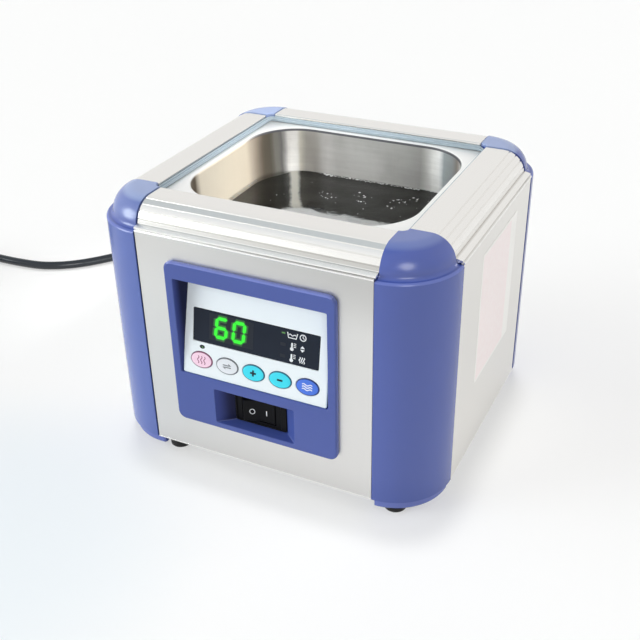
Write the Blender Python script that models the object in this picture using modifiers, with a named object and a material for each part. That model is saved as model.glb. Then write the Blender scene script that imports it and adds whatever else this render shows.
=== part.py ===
# Heated benchtop ultrasonic cleaning bath with a control panel on its front.
# Metres, +Z up, front towards -Y. The origin is on the table under the middle of the casing.
import math

import bmesh
import bpy
from mathutils import Vector

# General fits
GAP = 0.0003
SEAM = 0.0006
ROUND_SHARE = 1 - math.sqrt(0.5)

# Casing: four flat panels between four round corner posts
WIDTH = 0.208
DEPTH = 0.193
PANEL_HEIGHT = 0.136
PANEL_LIFT = 0.009
PANEL_THICK = 0.002
CORNER_RADIUS = 0.034
POST_WALL = 0.002
POST_FLANGE = 0.008
POST_EDGE = 0.0016

# Lower corner blocks, base plate and feet
BLOCK_INSET = 0.002
BLOCK_END = 0.001
BLOCK_DEPTH = 0.006
BLOCK_EDGE = 0.0015
BASE_THICK = 0.0015
BOSS_RADIUS = 0.0060
FOOT_RADIUS = 0.0064
FOOT_TAPER = 0.0008
FOOT_LEFT_IN = 0.009
FOOT_RIGHT_OUT = 0.010
FOOT_OUT_Y = 0.023
VENT_COUNT = 9
VENT_PITCH = 0.010
VENT_WIDTH = 0.004
VENT_LENGTH = 0.026
REAR_VENT_Z = 0.062

# Top rails and the caps that join them
RAIL_RISE = 0.0143
RAIL_SETBACK = 0.0046
RAIL_ROUND = 0.0135
RAIL_WALL = 0.002
RAIL_INNER = 0.0045
RAIL_EDGE = 0.0008
RAIL_LIP = 0.0008
RAIL_LIP_THICK = 0.001
RAIL_SHELF = 0.012
GROOVE_ANGLES = (20.0, 38.5, 55.5, 73.5)
GROOVE_DEPTH = 0.0005
GROOVE_HALF_ANGLE = 1.8
CAP_PROUD = 0.0004
CAP_FLARE = 0.0022
CAP_SPIGOT = 0.008

# Tank of drawn sheet and its seal
TANK_SIDE = 0.0018
TANK_END = 0.0017
TANK_CORNER = 0.030
TANK_DEEP = 0.090
TANK_WALL = 0.001
TANK_RIM = 0.002
TANK_FILLET = 0.012
FLANGE_RISE = 0.0102
FLANGE_OUT = 0.0215
SEAL_WIDTH = 0.0022
SEAL_DROP = 0.001

# Sound heads, heater and sensor on the outside of the tank
HEAD_SHARE = 0.242
HORN_TOP_RADIUS = 0.0225
HORN_LOW_RADIUS = 0.0190
HORN_HEIGHT = 0.017
HORN_TAPER = (0.3, 0.7)
PIEZO_RADIUS = 0.0188
PIEZO_HEIGHT = 0.0055
PIEZO_SHIM = 0.0006
TAIL_RADIUS = 0.0192
TAIL_HEIGHT = 0.014
BOLT_RADIUS = 0.0045
BOLT_HEIGHT = 0.005
HEATER_WIDTH = 0.070
HEATER_HEIGHT = 0.045
HEATER_THICK = 0.0016
HEATER_CORNER = 0.004
HEATER_Z = 0.100
SENSOR_RADIUS = 0.003
SENSOR_TIP = 0.0018
SENSOR_LENGTH = 0.022
SENSOR_Z = 0.085

# Drive electronics on the base plate
BOARD_THICK = 0.0016
BOARD_CORNER = 0.002
DRIVE_WIDTH = 0.118
DRIVE_DEPTH = 0.052
DRIVE_IN = 0.0085
POST_PEG_RADIUS = 0.003
POST_PEG_HEIGHT = 0.006
PEG_MARGIN = 0.006
CANS = ((-0.044, 0.014, 0.008, 0.022), (-0.024, 0.014, 0.008, 0.022), (0.040, 0.014, 0.010, 0.016))
OUTPUT_COIL = (0.020, 0.018, 0.016)
OUTPUT_COIL_PLACE = (0.010, 0.014)
SINK_Y = 0.030
SINK_WIDTH = 0.060
SINK_HEIGHT = 0.026
SINK_DEPTH = 0.018
SINK_BASE = 0.004
SINK_FINS = 8
SINK_FIN = 0.0018
CORE_WIDTH = 0.036
CORE_DEPTH = 0.028
CORE_HEIGHT = 0.030
WINDING_WIDTH = 0.022
WINDING_DEPTH = 0.040
WINDING_HEIGHT = 0.018
WINDING_CORNER = 0.004
TRANSFORMER_IN = (0.018, 0.0125)

# Control bezel
BEZEL_WIDTH = 0.1016
BEZEL_HEIGHT = 0.102
BEZEL_BOTTOM = 0.031
BEZEL_PROUD = 0.003
BEZEL_CORNER = 0.005
BEZEL_EDGE = 0.0012
BEZEL_RIM = 0.0032
BEZEL_FLOOR = 0.0022
STANDOFF_RADIUS = 0.0024
STANDOFF_MARGIN = 0.005

# Key panel, tilted back at its top; its own frame starts at its lower edge
TILT = math.radians(10.0)
KEYPAD_FOOT = 0.0335
KEYPAD_HEAD = 0.0104
KEYPAD_SIDE = 0.0066
KEYPAD_SINK = 0.0008
KEYPAD_THICK = 0.0012
KEYPAD_CORNER = 0.0015
POCKET_SIDE = 0.0051
POCKET_CORNER = 0.002
WINDOW_SIDE = 0.0058
WINDOW_SHARE = (0.3458, 0.6712)
KEY_NAMES = ("heater_key", "display_key", "plus_key", "minus_key", "wash_key")
KEY_LOOKS = ("pink", "white", "cyan", "cyan", "key_blue")
KEY_SIDE = 0.0046
KEY_SPACE = 0.0028
KEY_SHARE = (0.0797, 0.2390)
KEY_PROUD = 0.0005
KEY_SHOULDER = 0.0002
KEY_CROWN = 0.001
KEY_TRAVEL = 0.0005
KEY_PLAY = 0.00015
KEY_STEM_RADIUS = 0.0028
CONTROL_OFFSET = 0.0125
CONTROL_SIDE = 0.0012
CONTROL_FOOT = 0.003
TACT_SIZE = 0.006
TACT_HEIGHT = 0.0035
DIGITS_SIDE = 0.0104
DIGITS_HEAD = 0.0014

# Rocker switch in its own recess
SWITCH_FOOT = 0.0152
SWITCH_SINK = 0.006
RECESS_SIDE = 0.0098
RECESS_HEAD = 0.0014
SWITCH_WIDTH = 0.030
SWITCH_HEIGHT = 0.0196
SWITCH_FRAME = 0.0018
SWITCH_CORNER = 0.001
SWITCH_BODY_WIDTH = 0.0264
SWITCH_BODY_HEIGHT = 0.0166
SWITCH_BODY_DEPTH = 0.019
ROCKER_RADIUS = 0.0104
ROCKER_HEIGHT = 0.0138
ROCKER_PIVOT = 0.003
ROCKER_TILT = math.radians(10.0)
ROCKER_DROP = math.radians(-20.0)
ROCKER_PLAY = 0.0004
PIN_RADIUS = 0.0012
PIN_LENGTH = 0.0009
PIN_PLAY = 0.00012
TAB_WIDTH = 0.0048
TAB_THICK = 0.0008
TAB_LENGTH = 0.008
TAB_PITCH = 0.008

# Mains cord, its bush, coil, tie and plug
CORD_RADIUS = 0.00325
CORD_LIFT = 0.0002
CORD_X = -0.045
CORD_Z = 0.030
BUSH_LENGTH = 0.028
BUSH_RADIUS = 0.0062
BUSH_END = 0.0046
BUSH_RIBS = 4
RIB_SHARE = 0.45
RIB_NECK = 0.84
BUSH_FLANGE = 0.0085
BUSH_FLANGE_THICK = 0.0025
BUSH_INSIDE = 0.006
COIL_X = -0.390
COIL_Y = 0.009
COIL_OUTER = 0.0485
COIL_TURNS = 7.25
COIL_STEP = 0.0072
COIL_LAYER = 0.0071
COIL_POINTS = 24
PATH_STEPS = 20
COIL_START = math.radians(90.0)
TAIL_RUN = 0.045
TAIL_FALL = (0.25, 0.45, 0.65, 0.82)
TAIL_LEVEL = (0.95, 1.0)
TIE_ANGLE = math.radians(-35.0)
TIE_THICK = 0.0008
TIE_WIDTH = 0.006
TIE_PLAY = 0.0005
PLUG_WIDTH = 0.024
PLUG_THICK = 0.018
PLUG_LENGTH = 0.030
PLUG_NECK = 0.016
PLUG_NECK_RADIUS = 0.0046
PLUG_CORNER = 0.004
PLUG_SHOULDER = (0.8, 0.75)
PLUG_SWELL = (0.6, 0.35)
BLADE_WIDTH = 0.0063
BLADE_THICK = 0.0015
BLADE_LENGTH = 0.017
BLADE_PITCH = 0.0127

# The cord's free stretch, from the bush round the rear left corner to the coil
CORD_ROUTE = (
    (-0.0452, 0.1420, 0.0288),
    (-0.0490, 0.1610, 0.0215),
    (-0.0600, 0.1800, 0.0110),
    (-0.0780, 0.1930, 0.0046),
    (-0.1020, 0.1985, 0.00345),
    (-0.1360, 0.1960, 0.00345),
    (-0.1710, 0.1830, 0.00345),
    (-0.2060, 0.1560, 0.00345),
    (-0.2310, 0.1240, 0.00345),
    (-0.2490, 0.0965, 0.00345),
    (-0.2680, 0.0760, 0.00345),
    (-0.2890, 0.0640, 0.00345),
    (-0.3110, 0.0602, 0.00345),
    (-0.3360, 0.0592, 0.00345),
)

# Levels and half sizes that the pieces share
HALF_X = WIDTH / 2
HALF_Y = DEPTH / 2
CORNER_X = HALF_X - CORNER_RADIUS
CORNER_Y = HALF_Y - CORNER_RADIUS
PANEL_TOP = PANEL_LIFT + PANEL_HEIGHT
BASE_TOP = PANEL_LIFT + BASE_THICK
FLANGE_TOP = PANEL_TOP + FLANGE_RISE
TANK_FLOOR = FLANGE_TOP - TANK_DEEP
TANK_WIDTH = 2 * (CORNER_X - TANK_SIDE)
TANK_DEPTH = 2 * (CORNER_Y - TANK_END)
HEAD_X = HEAD_SHARE * TANK_WIDTH
DRIVE_Y = CORNER_Y - DRIVE_IN
TRANSFORMER_X = TRANSFORMER_IN[0] - CORNER_X
TRANSFORMER_Y = TRANSFORMER_IN[1] - CORNER_Y
POST_FACE = CORNER_RADIUS - PANEL_THICK - GAP
POST_INNER = POST_FACE - POST_WALL
FOOT_LEFT_X = CORNER_X - FOOT_LEFT_IN
FOOT_RIGHT_X = CORNER_X + FOOT_RIGHT_OUT
FOOT_Y = CORNER_Y + FOOT_OUT_Y
FACE_Y = -HALF_Y - BEZEL_PROUD
BEZEL_TOP = BEZEL_BOTTOM + BEZEL_HEIGHT
KEYPAD_Z = BEZEL_BOTTOM + KEYPAD_FOOT
KEYPAD_WIDTH = BEZEL_WIDTH - 2 * KEYPAD_SIDE
KEYPAD_HEIGHT = (BEZEL_TOP - KEYPAD_HEAD - KEYPAD_Z) / math.cos(TILT)
POCKET_WIDTH = BEZEL_WIDTH - 2 * POCKET_SIDE
WINDOW_WIDTH = KEYPAD_WIDTH - 2 * WINDOW_SIDE
WINDOW_HEIGHT = KEYPAD_HEIGHT * (WINDOW_SHARE[1] - WINDOW_SHARE[0])
WINDOW_V = KEYPAD_HEIGHT * (WINDOW_SHARE[1] + WINDOW_SHARE[0]) / 2
KEY_COUNT = len(KEY_NAMES)
KEY_WIDTH = (KEYPAD_WIDTH - 2 * KEY_SIDE - (KEY_COUNT - 1) * KEY_SPACE) / KEY_COUNT
KEY_PITCH = KEY_WIDTH + KEY_SPACE
KEY_HEIGHT = KEYPAD_HEIGHT * (KEY_SHARE[1] - KEY_SHARE[0])
KEY_V = KEYPAD_HEIGHT * (KEY_SHARE[1] + KEY_SHARE[0]) / 2
CONTROL_WIDTH = KEYPAD_WIDTH - 2 * CONTROL_SIDE
CONTROL_HEIGHT = KEYPAD_HEIGHT - CONTROL_FOOT
DIGITS_WIDTH = WINDOW_WIDTH - 2 * DIGITS_SIDE
DIGITS_HEIGHT = WINDOW_HEIGHT - 2 * DIGITS_HEAD
SWITCH_Z = BEZEL_BOTTOM + SWITCH_FOOT
RECESS_WIDTH = SWITCH_WIDTH + 2 * RECESS_SIDE
RECESS_HEIGHT = SWITCH_HEIGHT + 2 * RECESS_HEAD
RECESS_FLOOR = SWITCH_SINK + SWITCH_FRAME + GAP
BEZEL_REAR = RECESS_FLOOR + BEZEL_FLOOR
COIL_LOW = CORD_RADIUS + TIE_PLAY + TIE_THICK
COIL_HIGH = COIL_LOW + COIL_LAYER

SIDES = {"right": 0.0, "rear": 90.0, "left": 180.0, "front": 270.0}
CORNERS = {"rear_right": 0.0, "rear_left": 90.0, "front_left": 180.0, "front_right": 270.0}

# Colour, roughness and metallic value of each finish
LOOKS = {
    "blue": ((0.105, 0.135, 0.36), 0.38, 0.0),
    "aluminium": ((0.72, 0.71, 0.69), 0.40, 1.0),
    "steel": ((0.56, 0.55, 0.53), 0.28, 1.0),
    "zinc": ((0.50, 0.51, 0.52), 0.45, 1.0),
    "rubber": ((0.012, 0.012, 0.013), 0.75, 0.0),
    "seal": ((0.45, 0.56, 0.62), 0.30, 0.0),
    "ceramic": ((0.62, 0.58, 0.50), 0.55, 0.0),
    "silicone": ((0.42, 0.09, 0.05), 0.65, 0.0),
    "board": ((0.03, 0.16, 0.06), 0.45, 0.0),
    "copper": ((0.46, 0.22, 0.08), 0.45, 0.6),
    "white": ((0.82, 0.84, 0.86), 0.35, 0.0),
    "smoke": ((0.012, 0.015, 0.022), 0.12, 0.0),
    "pink": ((0.83, 0.48, 0.62), 0.40, 0.0),
    "cyan": ((0.03, 0.62, 0.78), 0.40, 0.0),
    "key_blue": ((0.06, 0.20, 0.74), 0.40, 0.0),
    "black": ((0.014, 0.014, 0.015), 0.42, 0.0),
    "brass": ((0.60, 0.47, 0.22), 0.35, 1.0),
}


for old in list(bpy.data.objects):
    bpy.data.objects.remove(old, do_unlink=True)
parts = bpy.data.collections.new("ultrasonic_bath")
cutters = bpy.data.collections.new("cutters")
bpy.context.scene.collection.children.link(parts)
bpy.context.scene.collection.children.link(cutters)


def frame(name, location, rotation=(0.0, 0.0, 0.0), parent=None):
    empty = bpy.data.objects.new(name, None)
    empty.location = location
    empty.rotation_euler = rotation
    empty.parent = parent
    parts.objects.link(empty)
    return empty


# The bezel stands proud in front, so the casing sits half of that behind the origin
casing = frame("casing_frame", (0.0, BEZEL_PROUD / 2, 0.0))
keypad = frame(
    "keypad_frame", (0.0, FACE_Y + KEYPAD_SINK, KEYPAD_Z), (math.pi / 2 - TILT, 0.0, 0.0), casing
)


# Outlines

def arc(centre, radius, start, end, steps):
    points = []
    for k in range(steps + 1):
        angle = math.radians(start + (end - start) * k / steps)
        points.append((centre[0] + radius * math.cos(angle), centre[1] + radius * math.sin(angle)))
    return points


def rounded_rect(width, height, radius, steps=6, centre=(0.0, 0.0)):
    across = width / 2 - radius
    up = height / 2 - radius
    corners = ((across, up, 0.0), (-across, up, 90.0), (-across, -up, 180.0), (across, -up, 270.0))
    points = []
    for x, y, start in corners:
        points += arc((centre[0] + x, centre[1] + y), radius, start, start + 90.0, steps)
    return points


def ellipse(width, height, steps=24, centre=(0.0, 0.0)):
    points = []
    for k in range(steps):
        angle = 2 * math.pi * k / steps
        points.append((centre[0] + width / 2 * math.cos(angle), centre[1] + height / 2 * math.sin(angle)))
    return points


def level(outline, z):
    return [Vector((x, y, z)) for x, y in outline]


# Solids

def new_object(name, bm):
    bmesh.ops.recalc_face_normals(bm, faces=bm.faces)
    mesh = bpy.data.meshes.new(name)
    bm.to_mesh(mesh)
    bm.free()
    mesh.shade_smooth()
    mesh.set_sharp_from_angle(angle=math.radians(32.0))
    return bpy.data.objects.new(name, mesh)


def plate(name, outlines, thickness):
    curve = bpy.data.curves.new(name, "CURVE")
    curve.dimensions = "2D"
    curve.fill_mode = "BOTH"
    curve.extrude = thickness / 2
    for outline in outlines:
        spline = curve.splines.new("POLY")
        spline.points.add(len(outline) - 1)
        for point, (x, y) in zip(spline.points, outline):
            point.co = (x, y, 0.0, 1.0)
        spline.use_cyclic_u = True
    return bpy.data.objects.new(name, curve)


def solid_plate(name, outlines, thickness):
    flat = plate(name + "_outline", outlines, thickness)
    bm = bmesh.new()
    mesh = bpy.data.meshes.new_from_object(flat)
    bm.from_mesh(mesh)
    bmesh.ops.remove_doubles(bm, verts=bm.verts, dist=1e-6)
    bpy.data.objects.remove(flat)
    bpy.data.meshes.remove(mesh)
    return new_object(name, bm)


def loft(name, loops, closed=True):
    bm = bmesh.new()
    rings = [[bm.verts.new(point) for point in loop] for loop in loops]
    for lower, upper in zip(rings, rings[1:]):
        for k in range(len(lower)):
            after = (k + 1) % len(lower)
            bm.faces.new((lower[k], lower[after], upper[after], upper[k]))
    bm.faces.new(rings[-1])
    if closed:
        bm.faces.new(list(reversed(rings[0])))
    return new_object(name, bm)


def box(name, size, centre):
    bm = bmesh.new()
    made = bmesh.ops.create_cube(bm, size=1.0)
    bmesh.ops.scale(bm, vec=size, verts=made["verts"])
    bmesh.ops.translate(bm, vec=centre, verts=made["verts"])
    return new_object(name, bm)


def cylinder(name, radius, height, centre, steps=20):
    bm = bmesh.new()
    made = bmesh.ops.create_cone(
        bm, cap_ends=True, segments=steps, radius1=radius, radius2=radius, depth=height
    )
    bmesh.ops.translate(bm, vec=centre, verts=made["verts"])
    return new_object(name, bm)


def turned(name, profile, steps=28):
    bm = bmesh.new()
    verts = [bm.verts.new((radius, 0.0, z)) for radius, z in profile]
    for upper, lower in zip(verts, verts[1:]):
        bm.edges.new((upper, lower))
    mesh = bpy.data.meshes.new(name)
    bm.to_mesh(mesh)
    bm.free()
    obj = bpy.data.objects.new(name, mesh)
    screw = obj.modifiers.new("turn", "SCREW")
    screw.steps = steps
    screw.render_steps = steps
    screw.use_merge_vertices = True
    screw.merge_threshold = 1e-5
    return obj


def spun(name, section, degrees, steps):
    bm = bmesh.new()
    face = bm.faces.new([bm.verts.new((radius, 0.0, z)) for radius, z in section])
    bmesh.ops.spin(
        bm, geom=[face, *face.edges, *face.verts], cent=(0.0, 0.0, 0.0), axis=(0.0, 0.0, 1.0),
        angle=math.radians(degrees), steps=steps
    )
    return new_object(name, bm)


def tube(name, points, radius, resolution):
    curve = bpy.data.curves.new(name, "CURVE")
    curve.dimensions = "3D"
    curve.bevel_depth = radius
    curve.bevel_resolution = resolution
    curve.use_fill_caps = True
    spline = curve.splines.new("POLY")
    spline.points.add(len(points) - 1)
    for point, place in zip(spline.points, points):
        point.co = (*place, 1.0)
    return bpy.data.objects.new(name, curve)


def place(obj, look, location=(0.0, 0.0, 0.0), rotation=(0.0, 0.0, 0.0), parent=casing):
    colour, roughness, metallic = LOOKS[look]
    material = bpy.data.materials.new(obj.name)
    material.use_nodes = True
    shader = material.node_tree.nodes["Principled BSDF"]
    shader.inputs["Base Color"].default_value = (*colour, 1.0)
    shader.inputs["Roughness"].default_value = roughness
    shader.inputs["Metallic"].default_value = metallic
    obj.data.materials.append(material)
    obj.location = location
    obj.rotation_euler = rotation
    obj.parent = parent
    parts.objects.link(obj)
    return obj


def shape(obj, tool, operation, location=(0.0, 0.0, 0.0), rotation=(0.0, 0.0, 0.0), parent=casing):
    tool.location = location
    tool.rotation_euler = rotation
    tool.parent = parent
    tool.hide_render = True
    tool.display_type = "WIRE"
    cutters.objects.link(tool)
    modifier = obj.modifiers.new(tool.name, "BOOLEAN")
    modifier.operation = operation
    modifier.solver = "EXACT"
    modifier.object = tool


# Casing

def post_outline(outer):
    points = arc((0.0, 0.0), outer, 0.0, 90.0, 12)
    points += [(0.0, POST_FACE), (-POST_FLANGE, POST_FACE), (-POST_FLANGE, POST_INNER)]
    points += arc((0.0, 0.0), POST_INNER, 90.0, 0.0, 12)
    points += [(POST_INNER, -POST_FLANGE), (POST_FACE, -POST_FLANGE), (POST_FACE, 0.0)]
    return points


def block_outline(outer):
    start = BLOCK_END
    reach = math.degrees(math.asin(start / outer))
    return [(start, start), *arc((0.0, 0.0), outer, reach, 90.0 - reach, 12)]


def corner_place(degrees, z, shift=0.0):
    turn = math.radians(degrees + 45.0)
    x = math.copysign(CORNER_X + shift, math.cos(turn))
    y = math.copysign(CORNER_Y + shift, math.sin(turn))
    return (x, y, z), (0.0, 0.0, math.radians(degrees))


def make_posts():
    edge = ((0.0, 0.0), (0.0, PANEL_HEIGHT - POST_EDGE))
    half = ROUND_SHARE * POST_EDGE
    edge += ((half, PANEL_HEIGHT - half), (POST_EDGE, PANEL_HEIGHT))
    low = ((BLOCK_EDGE, 0.0), (0.0, BLOCK_EDGE), (0.0, BLOCK_DEPTH - GAP))
    for name, degrees in CORNERS.items():
        loops = [level(post_outline(CORNER_RADIUS - inset), z) for inset, z in edge]
        post = loft("corner_post_" + name, loops)
        place(post, "blue", *corner_place(degrees, PANEL_LIFT))
        loops = [level(block_outline(CORNER_RADIUS - BLOCK_INSET - inset), z) for inset, z in low]
        block = loft("corner_block_" + name, loops)
        place(block, "blue", *corner_place(degrees, PANEL_LIFT - BLOCK_DEPTH))


def vent_row(z):
    slots = []
    for k in range(VENT_COUNT):
        x = (k - (VENT_COUNT - 1) / 2) * VENT_PITCH
        slots.append(rounded_rect(VENT_WIDTH, VENT_LENGTH, VENT_WIDTH / 2 - 1e-5, 3, (x, z)))
    return slots


def make_panels():
    opening = rounded_rect(
        BEZEL_WIDTH - 2 * BEZEL_RIM + 2 * GAP, BEZEL_HEIGHT - 2 * BEZEL_RIM + 2 * GAP, GAP, 1,
        (0.0, BEZEL_BOTTOM + BEZEL_HEIGHT / 2 - PANEL_LIFT - PANEL_HEIGHT / 2)
    )
    cord_hole = ellipse(
        2 * (BUSH_RADIUS + GAP), 2 * (BUSH_RADIUS + GAP), 24,
        (-CORD_X, CORD_Z - PANEL_LIFT - PANEL_HEIGHT / 2)
    )
    vents = vent_row(REAR_VENT_Z - PANEL_LIFT - PANEL_HEIGHT / 2)
    cuts = {"front": [opening], "rear": [cord_hole, *vents]}
    for side, degrees in SIDES.items():
        turn = math.radians(degrees)
        facing_x = side in ("left", "right")
        length = 2 * (CORNER_Y if facing_x else CORNER_X) - 2 * SEAM
        out = (HALF_X if facing_x else HALF_Y) - PANEL_THICK / 2
        outline = rounded_rect(length, PANEL_HEIGHT, GAP, 1)
        panel = plate(side + "_panel", [outline, *cuts.get(side, [])], PANEL_THICK)
        centre = (out * math.cos(turn), out * math.sin(turn), PANEL_LIFT + PANEL_HEIGHT / 2)
        place(panel, "aluminium", centre, (math.pi / 2, 0.0, turn + math.pi / 2))


def make_base():
    inner = POST_INNER - GAP
    outline = rounded_rect(2 * (CORNER_X + inner), 2 * (CORNER_Y + inner), inner, 8)
    base = solid_plate("base_plate", [outline, *vent_row(0.0)], BASE_THICK)
    place(base, "zinc", (0.0, 0.0, PANEL_LIFT + BASE_THICK / 2))
    boss_height = BLOCK_DEPTH + BASE_THICK / 2
    for side, y in (("front", -FOOT_Y), ("rear", FOOT_Y)):
        boss = cylinder("boss_" + side, BOSS_RADIUS, boss_height, (0.0, 0.0, 0.0))
        centre = (-FOOT_LEFT_X, y, PANEL_LIFT - BLOCK_DEPTH + boss_height / 2)
        shape(base, boss, "UNION", centre)
    for k, (x, y) in enumerate(peg_places()):
        height = POST_PEG_HEIGHT - GAP + BASE_THICK / 2
        peg = cylinder("peg_%d" % k, POST_PEG_RADIUS, height, (0.0, 0.0, 0.0), 12)
        shape(base, peg, "UNION", (x, y, PANEL_LIFT + BASE_THICK / 2 + height / 2))


def make_feet():
    height = PANEL_LIFT - BLOCK_DEPTH - GAP
    profile = ((0.0, height), (FOOT_RADIUS, height), (FOOT_RADIUS, FOOT_TAPER))
    profile += ((FOOT_RADIUS - FOOT_TAPER, 0.0), (0.0, 0.0))
    for end, y in (("front", -FOOT_Y), ("rear", FOOT_Y)):
        for side, x in (("left", -FOOT_LEFT_X), ("right", FOOT_RIGHT_X)):
            place(turned("foot_%s_%s" % (end, side), profile, 24), "rubber", (x, y, 0.0))


# Top frame

def climb_angle(height, radius):
    return math.degrees(math.asin(height / radius))


def hook_section(foot, base, proud, grooves):
    wall = CORNER_RADIUS - RAIL_SETBACK + proud
    rise = RAIL_RISE + proud
    radius = RAIL_ROUND + proud
    inside = radius - RAIL_WALL
    centre = (wall - radius, rise - radius)
    shelf = FLANGE_RISE - TANK_WALL - GAP
    leg = FLANGE_RISE + GAP
    points = list(foot)
    start = climb_angle(base - centre[1], radius)
    for angle in grooves:
        points += arc(centre, radius, start, angle - GROOVE_HALF_ANGLE, 2)
        points += arc(centre, radius - GROOVE_DEPTH, angle, angle, 1)[:1]
        start = angle + GROOVE_HALF_ANGLE
    points += arc(centre, radius, start, 90.0, 2 if grooves else 10)
    points += [(RAIL_INNER + RAIL_EDGE, rise), (RAIL_INNER, rise - RAIL_EDGE), (RAIL_INNER, leg)]
    points += [(RAIL_INNER + RAIL_WALL, leg), (RAIL_INNER + RAIL_WALL, rise - RAIL_WALL)]
    points += arc(centre, inside, 90.0, climb_angle(shelf - centre[1], inside), 4)
    points += [(RAIL_SHELF, shelf), (RAIL_SHELF, shelf - RAIL_WALL)]
    points += arc(centre, inside, climb_angle(shelf - RAIL_WALL - centre[1], inside), 0.0, 2)
    return points


def make_rails():
    wall = CORNER_RADIUS - RAIL_SETBACK
    out = CORNER_RADIUS - RAIL_LIP
    foot = ((wall - RAIL_WALL, GAP), (out, GAP), (out, RAIL_LIP_THICK))
    section = hook_section(foot, RAIL_LIP_THICK + RAIL_LIP, 0.0, GROOVE_ANGLES)
    for side, degrees in SIDES.items():
        turn = math.radians(degrees)
        facing_x = side in ("left", "right")
        length = 2 * (CORNER_Y if facing_x else CORNER_X)
        out = CORNER_X if facing_x else CORNER_Y
        rail = plate("top_rail_" + side, [section], length)
        centre = (out * math.cos(turn), out * math.sin(turn), PANEL_TOP)
        place(rail, "aluminium", centre, (math.pi / 2, 0.0, turn))


def make_caps():
    wall = CORNER_RADIUS - RAIL_SETBACK + CAP_PROUD
    spigot = POST_INNER - GAP
    foot = (
        (spigot - RAIL_WALL, -CAP_SPIGOT), (spigot, -CAP_SPIGOT), (spigot, GAP),
        (wall + CAP_FLARE, GAP), (wall + ROUND_SHARE * CAP_FLARE, ROUND_SHARE * CAP_FLARE)
    )
    section = [(radius - SEAM, z) for radius, z in hook_section(foot, CAP_FLARE, CAP_PROUD, ())]
    for name, degrees in CORNERS.items():
        cap = spun("corner_cap_" + name, section, 90.0, 10)
        place(cap, "blue", *corner_place(degrees, PANEL_TOP, SEAM))


# Tank

def tank_outline(inset, radius):
    return rounded_rect(TANK_WIDTH - 2 * inset, TANK_DEPTH - 2 * inset, radius - inset, 7)


def make_tank():
    flange = rounded_rect(2 * (CORNER_X + FLANGE_OUT), 2 * (CORNER_Y + FLANGE_OUT), FLANGE_OUT, 7)
    loops = [level(flange, FLANGE_TOP)]
    for angle in (0.0, 30.0, 60.0, 90.0):
        turn = math.radians(angle)
        inset = -TANK_RIM * (1 - math.sin(turn))
        depth = FLANGE_TOP - TANK_RIM * (1 - math.cos(turn))
        loops.append(level(tank_outline(inset, TANK_CORNER), depth))
    for angle in (0.0, 30.0, 60.0, 90.0):
        turn = math.radians(angle)
        inset = TANK_FILLET * (1 - math.cos(turn))
        depth = TANK_FLOOR + TANK_FILLET * (1 - math.sin(turn))
        loops.append(level(tank_outline(inset, TANK_CORNER), depth))
    tank = loft("tank", loops, closed=False)
    sheet = tank.modifiers.new("sheet", "SOLIDIFY")
    sheet.thickness = TANK_WALL
    sheet.offset = -1.0
    sheet.use_even_offset = True
    place(tank, "steel")


def make_seal():
    outer = RAIL_INNER - GAP
    inner = outer - SEAL_WIDTH
    outlines = [
        rounded_rect(2 * (CORNER_X + reach), 2 * (CORNER_Y + reach), reach, 5) for reach in (outer, inner)
    ]
    height = RAIL_RISE - FLANGE_RISE - SEAL_DROP - GAP
    place(plate("tank_seal", outlines, height), "seal", (0.0, 0.0, FLANGE_TOP + GAP + height / 2))


def make_sound_heads():
    top = TANK_FLOOR - TANK_WALL - GAP
    high, low = [-HORN_HEIGHT * share for share in HORN_TAPER]
    horn = ((0.0, 0.0), (HORN_TOP_RADIUS, 0.0), (HORN_TOP_RADIUS, high), (HORN_LOW_RADIUS, low))
    horn += ((HORN_LOW_RADIUS, -HORN_HEIGHT), (0.0, -HORN_HEIGHT))
    neck = PIEZO_RADIUS - PIEZO_SHIM
    split = PIEZO_HEIGHT + PIEZO_SHIM
    stack = PIEZO_HEIGHT + split
    piezo = ((0.0, 0.0), (PIEZO_RADIUS, 0.0), (PIEZO_RADIUS, -PIEZO_HEIGHT), (neck, -PIEZO_HEIGHT))
    piezo += ((neck, -split), (PIEZO_RADIUS, -split), (PIEZO_RADIUS, -stack), (0.0, -stack))
    tail = ((0.0, 0.0), (TAIL_RADIUS, 0.0), (TAIL_RADIUS, -TAIL_HEIGHT), (BOLT_RADIUS, -TAIL_HEIGHT))
    tail += ((BOLT_RADIUS, -TAIL_HEIGHT - BOLT_HEIGHT), (0.0, -TAIL_HEIGHT - BOLT_HEIGHT))
    under = top - HORN_HEIGHT - GAP
    for side, x in (("left", -HEAD_X), ("right", HEAD_X)):
        place(turned("sound_head_horn_" + side, horn, 24), "aluminium", (x, 0.0, top))
        place(turned("sound_head_piezo_" + side, piezo, 24), "ceramic", (x, 0.0, under))
        place(turned("sound_head_tail_" + side, tail, 24), "steel", (x, 0.0, under - stack - GAP))


def make_heater():
    wall = TANK_DEPTH / 2 + TANK_WALL + GAP
    outline = rounded_rect(HEATER_WIDTH, HEATER_HEIGHT, HEATER_CORNER, 4)
    pad = plate("heater_pad", [outline], HEATER_THICK)
    place(pad, "silicone", (0.0, wall + HEATER_THICK / 2, HEATER_Z), (math.pi / 2, 0.0, 0.0))
    half = SENSOR_LENGTH / 2
    profile = ((0.0, half), (SENSOR_TIP, half), (SENSOR_RADIUS, half - SENSOR_TIP))
    profile += ((SENSOR_RADIUS, -half), (0.0, -half))
    out = -(TANK_WIDTH / 2 + TANK_WALL + GAP + SENSOR_RADIUS)
    place(turned("temperature_sensor", profile, 16), "copper", (out, 0.0, SENSOR_Z))


# Drive electronics

def peg_places():
    x = DRIVE_WIDTH / 2 - PEG_MARGIN
    y = DRIVE_DEPTH / 2 - PEG_MARGIN
    return [(sx * x, DRIVE_Y + sy * y) for sx in (-1, 1) for sy in (-1, 1)]


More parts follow.
